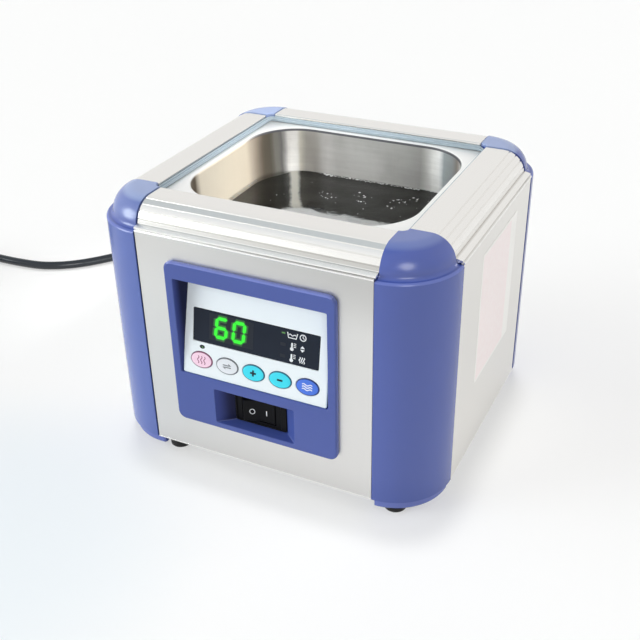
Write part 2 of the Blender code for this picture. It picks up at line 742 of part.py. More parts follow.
def make_drive():
    under = BASE_TOP + POST_PEG_HEIGHT
    top = under + BOARD_THICK
    outline = rounded_rect(DRIVE_WIDTH, DRIVE_DEPTH, BOARD_CORNER, 3)
    board = solid_plate("generator_board", [outline], BOARD_THICK)
    place(board, "board", (0.0, DRIVE_Y, under + BOARD_THICK / 2))
    bite = BOARD_THICK / 2
    front = DRIVE_Y - DRIVE_DEPTH / 2
    for k, (x, y, radius, height) in enumerate(CANS):
        can = cylinder("can_%d" % k, radius, height + bite, (0.0, 0.0, (height - bite) / 2), 16)
        shape(board, can, "UNION", (x, front + y, top))
    width, depth, height = OUTPUT_COIL
    block = box("output_coil", (width, depth, height + bite), (0.0, 0.0, (height - bite) / 2))
    x, y = OUTPUT_COIL_PLACE
    shape(board, block, "UNION", (x, front + y, top))
    teeth = []
    room = (SINK_WIDTH - SINK_FIN) / (SINK_FINS - 1)
    for k in range(SINK_FINS):
        x = -SINK_WIDTH / 2 + k * room
        teeth += [(x, SINK_BASE), (x, SINK_DEPTH), (x + SINK_FIN, SINK_DEPTH), (x + SINK_FIN, SINK_BASE)]
    comb = [(-SINK_WIDTH / 2, 0.0), *teeth[1:-1], (SINK_WIDTH / 2, 0.0)]
    sink = plate("heatsink", [comb], SINK_HEIGHT)
    place(sink, "aluminium", (0.0, front + SINK_Y, top + GAP + SINK_HEIGHT / 2))


def make_transformer():
    core = box("transformer", (CORE_WIDTH, CORE_DEPTH, CORE_HEIGHT), (0.0, 0.0, CORE_HEIGHT / 2))
    place(core, "zinc", (TRANSFORMER_X, TRANSFORMER_Y, BASE_TOP + GAP))
    outline = rounded_rect(WINDING_WIDTH, WINDING_HEIGHT, WINDING_CORNER, 4)
    winding = solid_plate("winding", [outline], WINDING_DEPTH)
    centre = (TRANSFORMER_X, TRANSFORMER_Y, BASE_TOP + GAP + CORE_HEIGHT / 2)
    shape(core, winding, "UNION", centre, (math.pi / 2, 0.0, 0.0))


# Control panel

def keypad_depth(z, offset):
    return KEYPAD_SINK + offset / math.cos(TILT) + (z - KEYPAD_Z) * math.tan(TILT)


def on_face(outline, depth):
    return [Vector((x, FACE_Y + depth, z)) for x, z in outline]


def on_keypad(outline, offset):
    points = []
    for x, v in outline:
        y = KEYPAD_SINK + v * math.sin(TILT) + offset * math.cos(TILT)
        points.append(Vector((x, FACE_Y + y, KEYPAD_Z + v * math.cos(TILT) - offset * math.sin(TILT))))
    return points


def key_places():
    middle = (KEY_COUNT - 1) / 2
    return [((k - middle) * KEY_PITCH, KEY_V) for k in range(KEY_COUNT)]


def make_bezel():
    middle = (0.0, BEZEL_BOTTOM + BEZEL_HEIGHT / 2)
    loops = []
    half = ROUND_SHARE * BEZEL_EDGE
    for inset, depth in ((0.0, BEZEL_PROUD - GAP), (0.0, BEZEL_EDGE), (half, half), (BEZEL_EDGE, 0.0)):
        outline = rounded_rect(
            BEZEL_WIDTH - 2 * inset, BEZEL_HEIGHT - 2 * inset, BEZEL_CORNER - inset, 5, middle
        )
        loops.append(on_face(outline, depth))
    bezel = loft("control_bezel", loops)
    place(bezel, "blue")

    bottom = BEZEL_BOTTOM + BEZEL_RIM
    top = BEZEL_TOP - BEZEL_RIM
    back = KEYPAD_THICK + GAP + BEZEL_FLOOR
    knee = KEYPAD_Z + (BEZEL_REAR - keypad_depth(KEYPAD_Z, back)) / math.tan(TILT)
    lap = BEZEL_PROUD / 2
    side = [(lap, bottom), (BEZEL_REAR, bottom), (BEZEL_REAR, knee), (keypad_depth(top, back), top)]
    outline = [(FACE_Y + depth, z) for depth, z in (*side, (lap, top))]
    body = solid_plate("bezel_body", [outline], BEZEL_WIDTH - 2 * BEZEL_RIM)
    shape(bezel, body, "UNION", rotation=(math.pi / 2, 0.0, math.pi / 2))

    floor = KEYPAD_THICK + GAP
    reach = KEYPAD_HEIGHT + 2 * GAP
    seat = rounded_rect(
        KEYPAD_WIDTH + 2 * GAP, reach, KEYPAD_CORNER + GAP, 3, (0.0, KEYPAD_HEIGHT / 2)
    )
    mouth_bottom = KEYPAD_Z - GAP
    mouth_top = KEYPAD_Z + KEYPAD_HEIGHT * math.cos(TILT) + GAP
    mouth = rounded_rect(
        POCKET_WIDTH, mouth_top - mouth_bottom, POCKET_CORNER, 3, (0.0, (mouth_top + mouth_bottom) / 2)
    )
    loops = [on_face(mouth, -BEZEL_PROUD), on_face(mouth, 0.0), on_keypad(seat, floor)]
    shape(bezel, loft("keypad_pocket", loops), "DIFFERENCE")

    spot = (0.0, SWITCH_Z)
    mouth = rounded_rect(RECESS_WIDTH, RECESS_HEIGHT, POCKET_CORNER, 3, spot)
    seat = rounded_rect(SWITCH_WIDTH + 2 * GAP, SWITCH_HEIGHT + 2 * GAP, POCKET_CORNER / 2, 3, spot)
    loops = [on_face(mouth, -BEZEL_PROUD), on_face(mouth, 0.0), on_face(seat, SWITCH_SINK)]
    recess = loft("switch_recess", [*loops, on_face(seat, RECESS_FLOOR)])
    shape(bezel, recess, "DIFFERENCE")
    width = SWITCH_BODY_WIDTH + 2 * GAP
    height = SWITCH_BODY_HEIGHT + 2 * GAP
    depth = RECESS_FLOOR + BEZEL_FLOOR / 2
    hole = box("switch_hole", (width, 2 * BEZEL_FLOOR, height), (0.0, FACE_Y + depth, SWITCH_Z))
    shape(bezel, hole, "DIFFERENCE")

    deep = CONTROL_OFFSET + BOARD_THICK
    for k, (x, v) in enumerate(key_places()):
        centre = (x, v, GAP - floor - deep / 2)
        hole = cylinder("key_hole_%d" % k, KEY_STEM_RADIUS + 2 * GAP, deep, centre, 16)
        shape(bezel, hole, "DIFFERENCE", parent=keypad)
    size = (DIGITS_WIDTH + 2 * GAP, DIGITS_HEIGHT + 2 * GAP, deep)
    hole = box("digits_hole", size, (0.0, WINDOW_V, GAP - floor - deep / 2))
    shape(bezel, hole, "DIFFERENCE", parent=keypad)
    for k, (x, v) in enumerate(standoff_places()):
        length = CONTROL_OFFSET - GAP - floor - BEZEL_FLOOR / 2
        centre = (x, v, -CONTROL_OFFSET + GAP + length / 2)
        standoff = cylinder("standoff_%d" % k, STANDOFF_RADIUS, length, centre, 12)
        shape(bezel, standoff, "UNION", parent=keypad)


def standoff_places():
    x = CONTROL_WIDTH / 2 - STANDOFF_MARGIN
    low = KEYPAD_HEIGHT - STANDOFF_MARGIN
    high = WINDOW_V + WINDOW_HEIGHT / 2 + STANDOFF_MARGIN / 2
    return [(sx * x, v) for sx in (-1, 1) for v in (low, high)]


def make_keypad():
    window = rounded_rect(
        WINDOW_WIDTH + 2 * GAP, WINDOW_HEIGHT + 2 * GAP, 2 * GAP, 1, (0.0, WINDOW_V - KEYPAD_HEIGHT / 2)
    )
    holes = [window]
    for x, v in key_places():
        holes.append(ellipse(KEY_WIDTH + 2 * GAP, KEY_HEIGHT + 2 * GAP, 24, (x, v - KEYPAD_HEIGHT / 2)))
    outline = rounded_rect(KEYPAD_WIDTH, KEYPAD_HEIGHT, KEYPAD_CORNER, 3)
    membrane = plate("key_panel", [outline, *holes], KEYPAD_THICK)
    place(membrane, "white", (0.0, KEYPAD_HEIGHT / 2, -KEYPAD_THICK / 2), parent=keypad)
    pane = plate("display_window", [rounded_rect(WINDOW_WIDTH, WINDOW_HEIGHT, GAP, 1)], KEYPAD_THICK)
    place(pane, "smoke", (0.0, WINDOW_V, -KEYPAD_THICK / 2), parent=keypad)

    under = -KEYPAD_THICK - GAP + KEY_TRAVEL + KEY_PLAY
    stem = -CONTROL_OFFSET + TACT_HEIGHT + KEY_TRAVEL + KEY_PLAY
    loops = [
        level(ellipse(KEY_WIDTH - 2 * KEY_CROWN, KEY_HEIGHT - 2 * KEY_CROWN), KEY_PROUD),
        level(ellipse(KEY_WIDTH, KEY_HEIGHT), KEY_SHOULDER),
        level(ellipse(KEY_WIDTH, KEY_HEIGHT), under),
        level(ellipse(2 * KEY_STEM_RADIUS, 2 * KEY_STEM_RADIUS), under),
        level(ellipse(2 * KEY_STEM_RADIUS, 2 * KEY_STEM_RADIUS), stem),
    ]
    for name, look, (x, v) in zip(KEY_NAMES, KEY_LOOKS, key_places()):
        place(loft(name, loops), look, (x, v, 0.0), parent=keypad)


def make_control_board():
    outline = rounded_rect(CONTROL_WIDTH, CONTROL_HEIGHT, BOARD_CORNER, 3)
    board = solid_plate("control_board", [outline], BOARD_THICK)
    middle = KEYPAD_HEIGHT - CONTROL_HEIGHT / 2
    place(board, "board", (0.0, middle, -CONTROL_OFFSET - BOARD_THICK / 2), parent=keypad)
    bite = BOARD_THICK / 2
    for k, (x, v) in enumerate(key_places()):
        size = (TACT_SIZE, TACT_SIZE, TACT_HEIGHT + bite)
        tact = box("tact_%d" % k, size, (x, v, -CONTROL_OFFSET + (TACT_HEIGHT - bite) / 2))
        shape(board, tact, "UNION", parent=keypad)
    height = CONTROL_OFFSET - KEYPAD_THICK - 2 * GAP
    digits = box("digit_module", (DIGITS_WIDTH, DIGITS_HEIGHT, height), (0.0, 0.0, 0.0))
    place(digits, "black", (0.0, WINDOW_V, -CONTROL_OFFSET + GAP + height / 2), parent=keypad)


# Rocker switch

def make_switch():
    front = FACE_Y + SWITCH_SINK
    frame_centre = (0.0, front + SWITCH_FRAME / 2, SWITCH_Z)
    outline = rounded_rect(SWITCH_WIDTH, SWITCH_HEIGHT, SWITCH_CORNER, 2)
    body = solid_plate("switch_body", [outline], SWITCH_FRAME)
    place(body, "black", frame_centre, (math.pi / 2, 0.0, 0.0))
    depth = SWITCH_BODY_DEPTH + SWITCH_FRAME / 2
    shell = box("switch_shell", (SWITCH_BODY_WIDTH, depth, SWITCH_BODY_HEIGHT), (0.0, 0.0, 0.0))
    shape(body, shell, "UNION", (0.0, front + SWITCH_FRAME / 2 + depth / 2, SWITCH_Z))
    rear = front + SWITCH_FRAME + SWITCH_BODY_DEPTH
    for k, x in enumerate((-TAB_PITCH, 0.0, TAB_PITCH)):
        size = (TAB_THICK, TAB_LENGTH + SWITCH_FRAME, TAB_WIDTH)
        tab = box("terminal_%d" % k, size, (x, rear + (TAB_LENGTH - SWITCH_FRAME) / 2, SWITCH_Z))
        shape(body, tab, "UNION")
    sweep = math.sin(-ROCKER_DROP + ROCKER_TILT) * ROCKER_RADIUS
    deep = ROCKER_PIVOT + sweep + 2 * ROCKER_PLAY
    size = (2 * (ROCKER_RADIUS + ROCKER_PLAY), deep + SWITCH_FRAME, ROCKER_HEIGHT + 2 * ROCKER_PLAY)
    well = box("rocker_well", size, (0.0, front + (deep - SWITCH_FRAME) / 2, SWITCH_Z))
    shape(body, well, "DIFFERENCE")
    axis = (0.0, front + ROCKER_PIVOT, SWITCH_Z)
    length = ROCKER_HEIGHT + 2 * (PIN_LENGTH + ROCKER_PLAY)
    bore = cylinder("pin_bore", PIN_RADIUS + PIN_PLAY, length, (0.0, 0.0, 0.0), 24)
    shape(body, bore, "DIFFERENCE", axis)

    rise = math.degrees(math.asin(ROCKER_PIVOT / ROCKER_RADIUS) + ROCKER_TILT)
    drop = math.degrees(ROCKER_DROP)
    outline = [(0.0, ROCKER_PIVOT), *arc((0.0, 0.0), ROCKER_RADIUS, 180.0 - rise, 180.0 - drop, 6)]
    outline += arc((0.0, 0.0), ROCKER_RADIUS, drop, rise, 6)
    rocker = solid_plate("switch_rocker", [[(x, -out) for x, out in outline]], ROCKER_HEIGHT)
    place(rocker, "black", axis, (0.0, 0.0, ROCKER_TILT))
    pin = cylinder("rocker_pin", PIN_RADIUS, ROCKER_HEIGHT + 2 * PIN_LENGTH, (0.0, 0.0, 0.0), 24)
    shape(rocker, pin, "UNION", axis)


# Mains cord

def smooth_path(points, pitch):
    path = [Vector(point) for point in points]
    ends = [2 * path[0] - path[1], *path, 2 * path[-1] - path[-2]]
    fine = []
    for a, b, c, d in zip(ends, ends[1:], ends[2:], ends[3:]):
        for k in range(PATH_STEPS):
            t = k / PATH_STEPS
            bend = (2 * a - 5 * b + 4 * c - d) * t * t + (3 * b - a - 3 * c + d) * t ** 3
            fine.append(0.5 * (2 * b + (c - a) * t + bend))
    fine.append(path[-1])
    lengths = [0.0]
    for before, after in zip(fine, fine[1:]):
        lengths.append(lengths[-1] + (after - before).length)
    count = max(2, round(lengths[-1] / pitch))
    even = []
    k = 0
    for step in range(count + 1):
        goal = lengths[-1] * step / count
        while k < len(fine) - 2 and lengths[k + 1] < goal:
            k += 1
        share = (goal - lengths[k]) / (lengths[k + 1] - lengths[k])
        even.append(fine[k].lerp(fine[k + 1], share))
    return even


def path_length(points):
    return sum((after - before).length for before, after in zip(points, points[1:]))


def coil_points():
    run = 2 * CORD_RADIUS
    start = Vector((COIL_X, COIL_Y + COIL_OUTER, COIL_LOW))
    points = [start + Vector((run, 0.0, 0.0))]
    steps = round(COIL_TURNS * COIL_POINTS)
    for k in range(steps + 1):
        turns = k / COIL_POINTS
        past = turns - COIL_TURNS / 2
        radius = COIL_OUTER - COIL_STEP * (COIL_TURNS / 2 - abs(past))
        climb = min(1.0, max(0.0, 0.5 + 2 * past))
        angle = COIL_START + 2 * math.pi * turns
        x = COIL_X + radius * math.cos(angle)
        points.append(Vector((x, COIL_Y + radius * math.sin(angle), COIL_LOW + COIL_LAYER * climb)))
    end = points[-1]
    drop = end.z - plug_axis()
    for share in TAIL_FALL:
        ease = share * share * (3 - 2 * share)
        points.append(end + Vector((0.0, -TAIL_RUN * share, -drop * ease)))
    for share in TAIL_LEVEL:
        points.append(end + Vector((0.0, -TAIL_RUN * share, -drop)))
    points.append(end + Vector((0.0, -TAIL_RUN - run, -drop)))
    return points


def plug_axis():
    return PLUG_THICK / 2 + CORD_LIFT


def least_gap(points):
    nearby = 8
    least = 1.0
    for i, a in enumerate(points):
        for b in points[i + nearby:]:
            least = min(least, (a - b).length)
    return least - 2 * CORD_RADIUS


def make_cord():
    wall = HALF_Y
    length = BUSH_LENGTH
    profile = [(0.0, length), (BUSH_END, length)]
    for k in range(BUSH_RIBS):
        low = BUSH_FLANGE_THICK + (length - BUSH_FLANGE_THICK) * (BUSH_RIBS - 1 - k) / BUSH_RIBS
        pitch = (length - BUSH_FLANGE_THICK) / BUSH_RIBS
        radius = BUSH_END + (BUSH_RADIUS - BUSH_END) * (k + 1) / BUSH_RIBS
        neck = RIB_NECK * radius
        profile += [(radius, low + RIB_SHARE * pitch), (neck, low + RIB_SHARE * pitch - GAP), (neck, low)]
    profile += [(BUSH_FLANGE, BUSH_FLANGE_THICK), (BUSH_FLANGE, GAP), (BUSH_RADIUS, GAP)]
    profile += [(BUSH_RADIUS, -PANEL_THICK - BUSH_INSIDE), (0.0, -PANEL_THICK - BUSH_INSIDE)]
    bush = turned("cord_bush", profile, 20)
    place(bush, "rubber", (CORD_X, wall, CORD_Z), (-math.pi / 2, 0.0, 0.0))

    exit_y = wall + BUSH_LENGTH + GAP
    coil = coil_points()
    meet = coil[0] + Vector((GAP, 0.0, 0.0))
    route = [(CORD_X, exit_y, CORD_Z), (CORD_X, exit_y + 2 * CORD_RADIUS, CORD_Z), *CORD_ROUTE]
    route += [meet + Vector((2 * CORD_RADIUS, 0.0, 0.0)), meet]
    free = smooth_path(route, 5 * CORD_RADIUS)
    place(tube("mains_cord", free, CORD_RADIUS, 2), "black")
    place(tube("cord_coil", coil, CORD_RADIUS, 1), "black")
    print("cord length %.3f m" % (path_length(free) + path_length(coil)))
    print("least gap in the coil %.2f mm" % (1000 * least_gap(coil)))

    inner = COIL_OUTER - COIL_STEP * COIL_TURNS / 2
    middle = (COIL_OUTER + inner) / 2
    width = COIL_OUTER - inner + 2 * (CORD_RADIUS + TIE_PLAY)
    height = COIL_LAYER + 2 * (CORD_RADIUS + TIE_PLAY)
    outlines = [
        rounded_rect(width + 2 * wide, height + 2 * wide, CORD_RADIUS + wide, 4) for wide in (TIE_THICK, 0.0)
    ]
    tie = plate("cord_tie", outlines, TIE_WIDTH)
    x = COIL_X + middle * math.cos(TIE_ANGLE)
    y = COIL_Y + middle * math.sin(TIE_ANGLE)
    place(tie, "black", (x, y, (COIL_LOW + COIL_HIGH) / 2), (math.pi / 2, 0.0, TIE_ANGLE))
    make_plug(coil[-1] + Vector((0.0, -GAP, 0.0)))


def make_plug(start):
    neck = 2 * PLUG_NECK_RADIUS
    round_neck = PLUG_NECK_RADIUS - GAP
    wide, high = PLUG_SHOULDER
    begin, full = PLUG_SWELL
    sections = (
        (neck, neck, round_neck, 0.0),
        (neck, neck, round_neck, begin * PLUG_NECK),
        (wide * PLUG_WIDTH, high * PLUG_THICK, PLUG_CORNER, PLUG_NECK),
        (PLUG_WIDTH, PLUG_THICK, PLUG_CORNER, PLUG_NECK + full * PLUG_LENGTH),
        (PLUG_WIDTH, PLUG_THICK, PLUG_CORNER, PLUG_NECK + PLUG_LENGTH),
    )
    loops = []
    for width, height, radius, along in sections:
        loops.append(level(rounded_rect(width, height, radius, 4), along))
    turn = (math.pi / 2, 0.0, 0.0)
    place(loft("plug_body", loops), "black", start, turn)
    along = PLUG_NECK + PLUG_LENGTH + GAP + BLADE_LENGTH / 2
    for side, x in (("left", -BLADE_PITCH / 2), ("right", BLADE_PITCH / 2)):
        blade = box("plug_blade_" + side, (BLADE_THICK, BLADE_LENGTH, BLADE_WIDTH), (0.0, 0.0, 0.0))
        place(blade, "brass", start + Vector((x, -along, 0.0)))


make_posts()
make_panels()
make_base()
make_feet()
make_rails()
make_caps()
make_tank()
make_seal()
make_sound_heads()
make_heater()
make_drive()
make_transformer()
make_bezel()
make_keypad()
make_control_board()
make_switch()
make_cord()
bpy.context.view_layer.update()
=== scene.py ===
import math
import random

import bmesh
import bpy
from mathutils import Matrix, Vector


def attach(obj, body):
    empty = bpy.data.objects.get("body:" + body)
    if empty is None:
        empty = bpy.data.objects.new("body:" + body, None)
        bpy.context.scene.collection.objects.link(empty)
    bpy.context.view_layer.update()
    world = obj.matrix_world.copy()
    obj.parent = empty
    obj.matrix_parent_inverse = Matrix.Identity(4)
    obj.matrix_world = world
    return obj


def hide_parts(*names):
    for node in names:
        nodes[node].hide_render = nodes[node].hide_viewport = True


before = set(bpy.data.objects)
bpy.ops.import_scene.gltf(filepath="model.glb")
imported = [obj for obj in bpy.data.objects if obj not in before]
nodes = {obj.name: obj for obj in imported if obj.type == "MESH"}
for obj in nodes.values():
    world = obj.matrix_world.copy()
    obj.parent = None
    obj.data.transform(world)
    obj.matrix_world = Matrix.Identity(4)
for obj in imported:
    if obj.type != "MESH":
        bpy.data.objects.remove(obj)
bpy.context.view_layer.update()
scene = bpy.context.scene
scene.view_settings.view_transform = "Standard"
print("frame loaded, %d nodes" % len(nodes))

# sizes that many pieces share, metres
casing = {
    "cornerX": 0.070, "cornerY": 0.0625, "round": 0.034, "low": 0.009, "high": 0.145,
    "shift": 0.0015,  # the casing stands this far behind the origin
    "gap": 0.0003, "seam": 0.0006, "sheet": 0.002,
    "aside": {"front": 0.0004, "right": -0.0004},  # panels and rails slid along against the near post
    "short": {"right": 0.0010},  # and this one ends before the far post
    "lift": 0.0012,  # panels reach this far above the posts
}
halfX = casing["cornerX"] + casing["round"]
halfY = casing["cornerY"] + casing["round"]
shifted = Matrix.Translation((0.0, casing["shift"], 0.0))
quarter = math.pi / 2
cornerTurns = {"rear_right": 0.0, "rear_left": 90.0, "front_left": 180.0, "front_right": 270.0}
sideTurns = {"right": 0.0, "rear": 90.0, "left": 180.0, "front": 270.0}

view = {
    "azimuth": 26.246, "elevation": 30.444, "roll": -1.101,
    "distance": 0.59984, "aim": (-0.00097, -0.01054, 0.06135), "lens": 54.603,
}


def makeCamera():
    azimuth, elevation, roll = (math.radians(view[key]) for key in ("azimuth", "elevation", "roll"))
    flat = math.cos(elevation)
    back = Vector((math.sin(azimuth) * flat, -math.cos(azimuth) * flat, math.sin(elevation)))
    right = Vector((0.0, 0.0, 1.0)).cross(back).normalized()
    up = back.cross(right)
    across = right * math.cos(roll) + up * math.sin(roll)
    upright = up * math.cos(roll) - right * math.sin(roll)
    data = bpy.data.cameras.new("viewCamera")
    data.lens = view["lens"]
    data.sensor_width = 36.0
    camera = bpy.data.objects.new("viewCamera", data)
    turn = Matrix((across, upright, back)).transposed().to_4x4()
    camera.matrix_world = Matrix.Translation(Vector(view["aim"]) + back * view["distance"]) @ turn
    scene.collection.objects.link(camera)
    scene.camera = camera


makeCamera()
print("camera placed")


# shader work

class Wire:
    # a socket that takes part in sums
    def __init__(self, tree, socket=None):
        self.tree = tree
        self.socket = socket

    def node(self, kind, settings=None, sockets=None, out=0):
        made = self.tree.nodes.new(kind)
        for name, value in (settings or {}).items():
            if name == "stops":
                ramp = made.color_ramp
                while len(ramp.elements) < len(value):
                    ramp.elements.new(1.0)
                for stop, (place, colour) in zip(ramp.elements, value):
                    stop.position = place
                    stop.color = (*colour, 1.0)
            else:
                setattr(made, name, value)
        for key, value in (sockets or {}).items():
            socket = made.inputs[key]
            if isinstance(value, Wire):
                self.tree.links.new(value.socket, socket)
            else:
                wide = socket.type == "RGBA" and len(value) == 3
                socket.default_value = (*value, 1.0) if wide else value
        return Wire(self.tree, made.outputs[out])

    def sum(self, operation, first, second, clamp=False):
        settings = {"operation": operation, "use_clamp": clamp}
        return self.node("ShaderNodeMath", settings, {0: first, 1: second})

    def __add__(self, other):
        return self.sum("ADD", self, other)

    def __radd__(self, other):
        return self.sum("ADD", other, self)

    def __sub__(self, other):
        return self.sum("SUBTRACT", self, other)

    def __rsub__(self, other):
        return self.sum("SUBTRACT", other, self)

    def __mul__(self, other):
        return self.sum("MULTIPLY", self, other)

    def __rmul__(self, other):
        return self.sum("MULTIPLY", other, self)

    def __truediv__(self, other):
        return self.sum("DIVIDE", self, other)

    def __rtruediv__(self, other):
        return self.sum("DIVIDE", other, self)

    def within(self, low, high):
        # 0 at low, 1 at high, smooth between
        sockets = {"Value": self, "From Min": low, "From Max": high}
        return self.node("ShaderNodeMapRange", {"interpolation_type": "SMOOTHSTEP"}, sockets)

    def strip(self, low, lowEnd, highEnd, high):
        # 1 between the two ends, 0 below low and above high
        return self.within(low, lowEnd) * self.within(high, highEnd)

    def to(self, socket):
        self.tree.links.new(self.socket, socket)


def newFinish(name, **fixed):
    finish = bpy.data.materials.new(name)
    finish.use_nodes = True
    inputs = finish.node_tree.nodes["Principled BSDF"].inputs
    for key, value in fixed.items():
        socket = inputs[key.replace("_", " ")]
        socket.default_value = (*value, 1.0) if socket.type == "RGBA" else value
    return finish, Wire(finish.node_tree), inputs


def spot(wire, stretch=(1.0, 1.0, 1.0)):
    place = wire.node("ShaderNodeTexCoord", out="Object")
    return wire.node("ShaderNodeVectorMath", {"operation": "MULTIPLY"}, {0: place, 1: stretch})


def noise(wire, scale, detail, stretch=(1.0, 1.0, 1.0)):
    sockets = {"Vector": spot(wire, stretch), "Scale": scale, "Detail": detail, "Roughness": 0.55}
    return wire.node("ShaderNodeTexNoise", None, sockets)


def tint(wire, share, first, second):
    return wire.node("ShaderNodeMix", {"data_type": "RGBA"}, {0: share, 6: first, 7: second}, out=2)


def bump(wire, height, strength, distance):
    return wire.node("ShaderNodeBump", None, {"Height": height, "Strength": strength, "Distance": distance})


def axes(wire):
    apart = wire.node("ShaderNodeSeparateXYZ", None, {0: spot(wire)})
    node = apart.socket.node
    return [Wire(wire.tree, node.outputs[k]) for k in range(3)]


# painted sheen: the tops of the caps are paler, most of all towards the rear left
capFade = {
    "tone": (0.29, 0.37, 0.60), "top": (0.1570, 0.1589), "side": (0.1440, 0.1530),
    "left": (0.06, -0.08), "rear": (-0.06, 0.06),
    "topShare": 0.27, "leftShare": 0.30, "rearShare": 0.56, "sideShare": 0.27,
}


def moulded(light, dark, rough, pores, shine=0.4, **more):
    return {"light": light, "dark": dark, "rough": rough, "pores": pores, "shine": shine, **more}


# plastics and prints: two tones, roughness, depth of the pores and shine
plastic = {
    "blue": moulded((0.060, 0.095, 0.348), (0.053, 0.084, 0.316), 0.23, 0.02, 0.65),
    "bezelBlue": moulded((0.056, 0.088, 0.318), (0.049, 0.077, 0.288), 0.23, 0.02, 0.5),
    "capBlue": moulded((0.056, 0.092, 0.358), (0.049, 0.081, 0.325), 0.24, 0.02, 0.85, fade=capFade),
    # painted light: a paler copy of the blue, for the left posts
    "bluePale": moulded((0.088, 0.134, 0.405), (0.078, 0.120, 0.370), 0.23, 0.02, 0.65),
    # painted highlight: a paler blue for the heads of the posts and for the blocks
    "blueEdge": moulded((0.105, 0.145, 0.45), (0.090, 0.128, 0.41), 0.22, 0.02, 0.8),
    # painted highlight: a paler blue for the bezel's rounded head
    "bezelEdge": moulded((0.15, 0.19, 0.49), (0.135, 0.17, 0.455), 0.26, 0.02, 0.5),
    "blueShade": moulded(
        (0.050, 0.070, 0.260), (0.043, 0.062, 0.235), 0.50, 0.02, 0.12,
        sunk=(-0.0985, -0.0926), deep=(0.008, 0.010, 0.040)  # painted shade, darker the deeper it lies
    ),
    "black": moulded((0.007, 0.007, 0.008), (0.004, 0.004, 0.005), 0.36, 0.12, 0.07),
    "rubber": moulded((0.018, 0.018, 0.018), (0.010, 0.010, 0.010), 0.42, 0.20, 0.25),
    "cord": moulded((0.015, 0.020, 0.028), (0.010, 0.014, 0.020), 0.17, 0.02, 0.5),
    "film": moulded((0.755, 0.805, 0.835), (0.735, 0.785, 0.815), 0.42, 0.05),
    "filmEdge": moulded((0.60, 0.74, 0.82), (0.53, 0.67, 0.76), 0.35, 0.05),
    "pink": moulded((0.86, 0.62, 0.74), (0.82, 0.56, 0.69), 0.40, 0.05),
    "pinkLine": moulded((0.34, 0.12, 0.21), (0.28, 0.09, 0.17), 0.45, 0.05),
    "white": moulded((0.715, 0.735, 0.775), (0.675, 0.695, 0.74), 0.40, 0.05),
    "greyLine": moulded((0.24, 0.25, 0.27), (0.19, 0.20, 0.22), 0.45, 0.05),
    "cyan": moulded((0.045, 0.66, 0.80), (0.030, 0.60, 0.74), 0.40, 0.05),
    "tealLine": moulded((0.02, 0.20, 0.30), (0.015, 0.16, 0.25), 0.45, 0.05),
    "keyBlue": moulded((0.065, 0.175, 0.70), (0.050, 0.145, 0.62), 0.40, 0.05),
    "navyLine": moulded((0.02, 0.05, 0.26), (0.015, 0.04, 0.21), 0.45, 0.05),
    "ink": moulded((0.020, 0.024, 0.035), (0.012, 0.015, 0.022), 0.55, 0.03, 0.16),
    "paleInk": moulded((0.80, 0.82, 0.84), (0.72, 0.74, 0.77), 0.50, 0.03),
    "silicone": moulded((0.44, 0.10, 0.06), (0.36, 0.07, 0.04), 0.60, 0.30),
    "ceramic": moulded((0.64, 0.60, 0.52), (0.55, 0.50, 0.42), 0.50, 0.15),
    "seal": moulded((0.38, 0.45, 0.50), (0.30, 0.37, 0.42), 0.26, 0.05, 0.5),
    "label": moulded((0.92, 0.865, 0.85), (0.88, 0.755, 0.75), 0.45, 0.04, grain=260.0),
    "labelEdge": moulded((0.90, 0.885, 0.855), (0.87, 0.855, 0.825), 0.45, 0.04),
}


def plasticFinish(name):
    look = plastic[name]
    finish, wire, inputs = newFinish(name + "Finish", Specular_IOR_Level=look["shine"])
    cloud = noise(wire, look.get("grain", 22.0), 3.0)
    pores = noise(wire, 2600.0, 2.0)
    tone = tint(wire, cloud, look["dark"], look["light"])
    # painted sheen: the caps' tops are paler, most of all towards the rear left
    if "fade" in look:
        x, y, z = axes(wire)
        fade = look["fade"]
        left, rear = x.within(*fade["left"]), y.within(*fade["rear"])
        top = fade["topShare"] + fade["leftShare"] * left + fade["rearShare"] * rear
        share = z.within(*fade["top"]) * top + fade["sideShare"] * left * z.within(*fade["side"])
        tone = tint(wire, share, tone, fade["tone"])
    if "sunk" in look:
        tone = tint(wire, axes(wire)[1].within(*look["sunk"]), tone, look["deep"])
    tone.to(inputs["Base Color"])
    (look["rough"] + 0.06 * (cloud - 0.5) + 0.03 * (pores - 0.5)).to(inputs["Roughness"])
    bump(wire, pores, look["pores"], 0.00012).to(inputs["Normal"])
    return finish


def streaked(light, dark, rough, stretch, scale, streak, **more):
    look = {"light": light, "dark": dark, "rough": rough}
    return {**look, "stretch": stretch, "scale": scale, "streak": streak, **more}


def railLook(stretch, dust, dull, bright):
    # painted shade above the lip, a painted darker strip that grows to the right, and painted highlights on
    # the edges
    return streaked((0.905, 0.893, 0.870), (0.895, 0.882, 0.860), 0.26, stretch, 3600.0, 0.012,
                    grain=0.03, dust=dust, dull=dull, bright=bright)


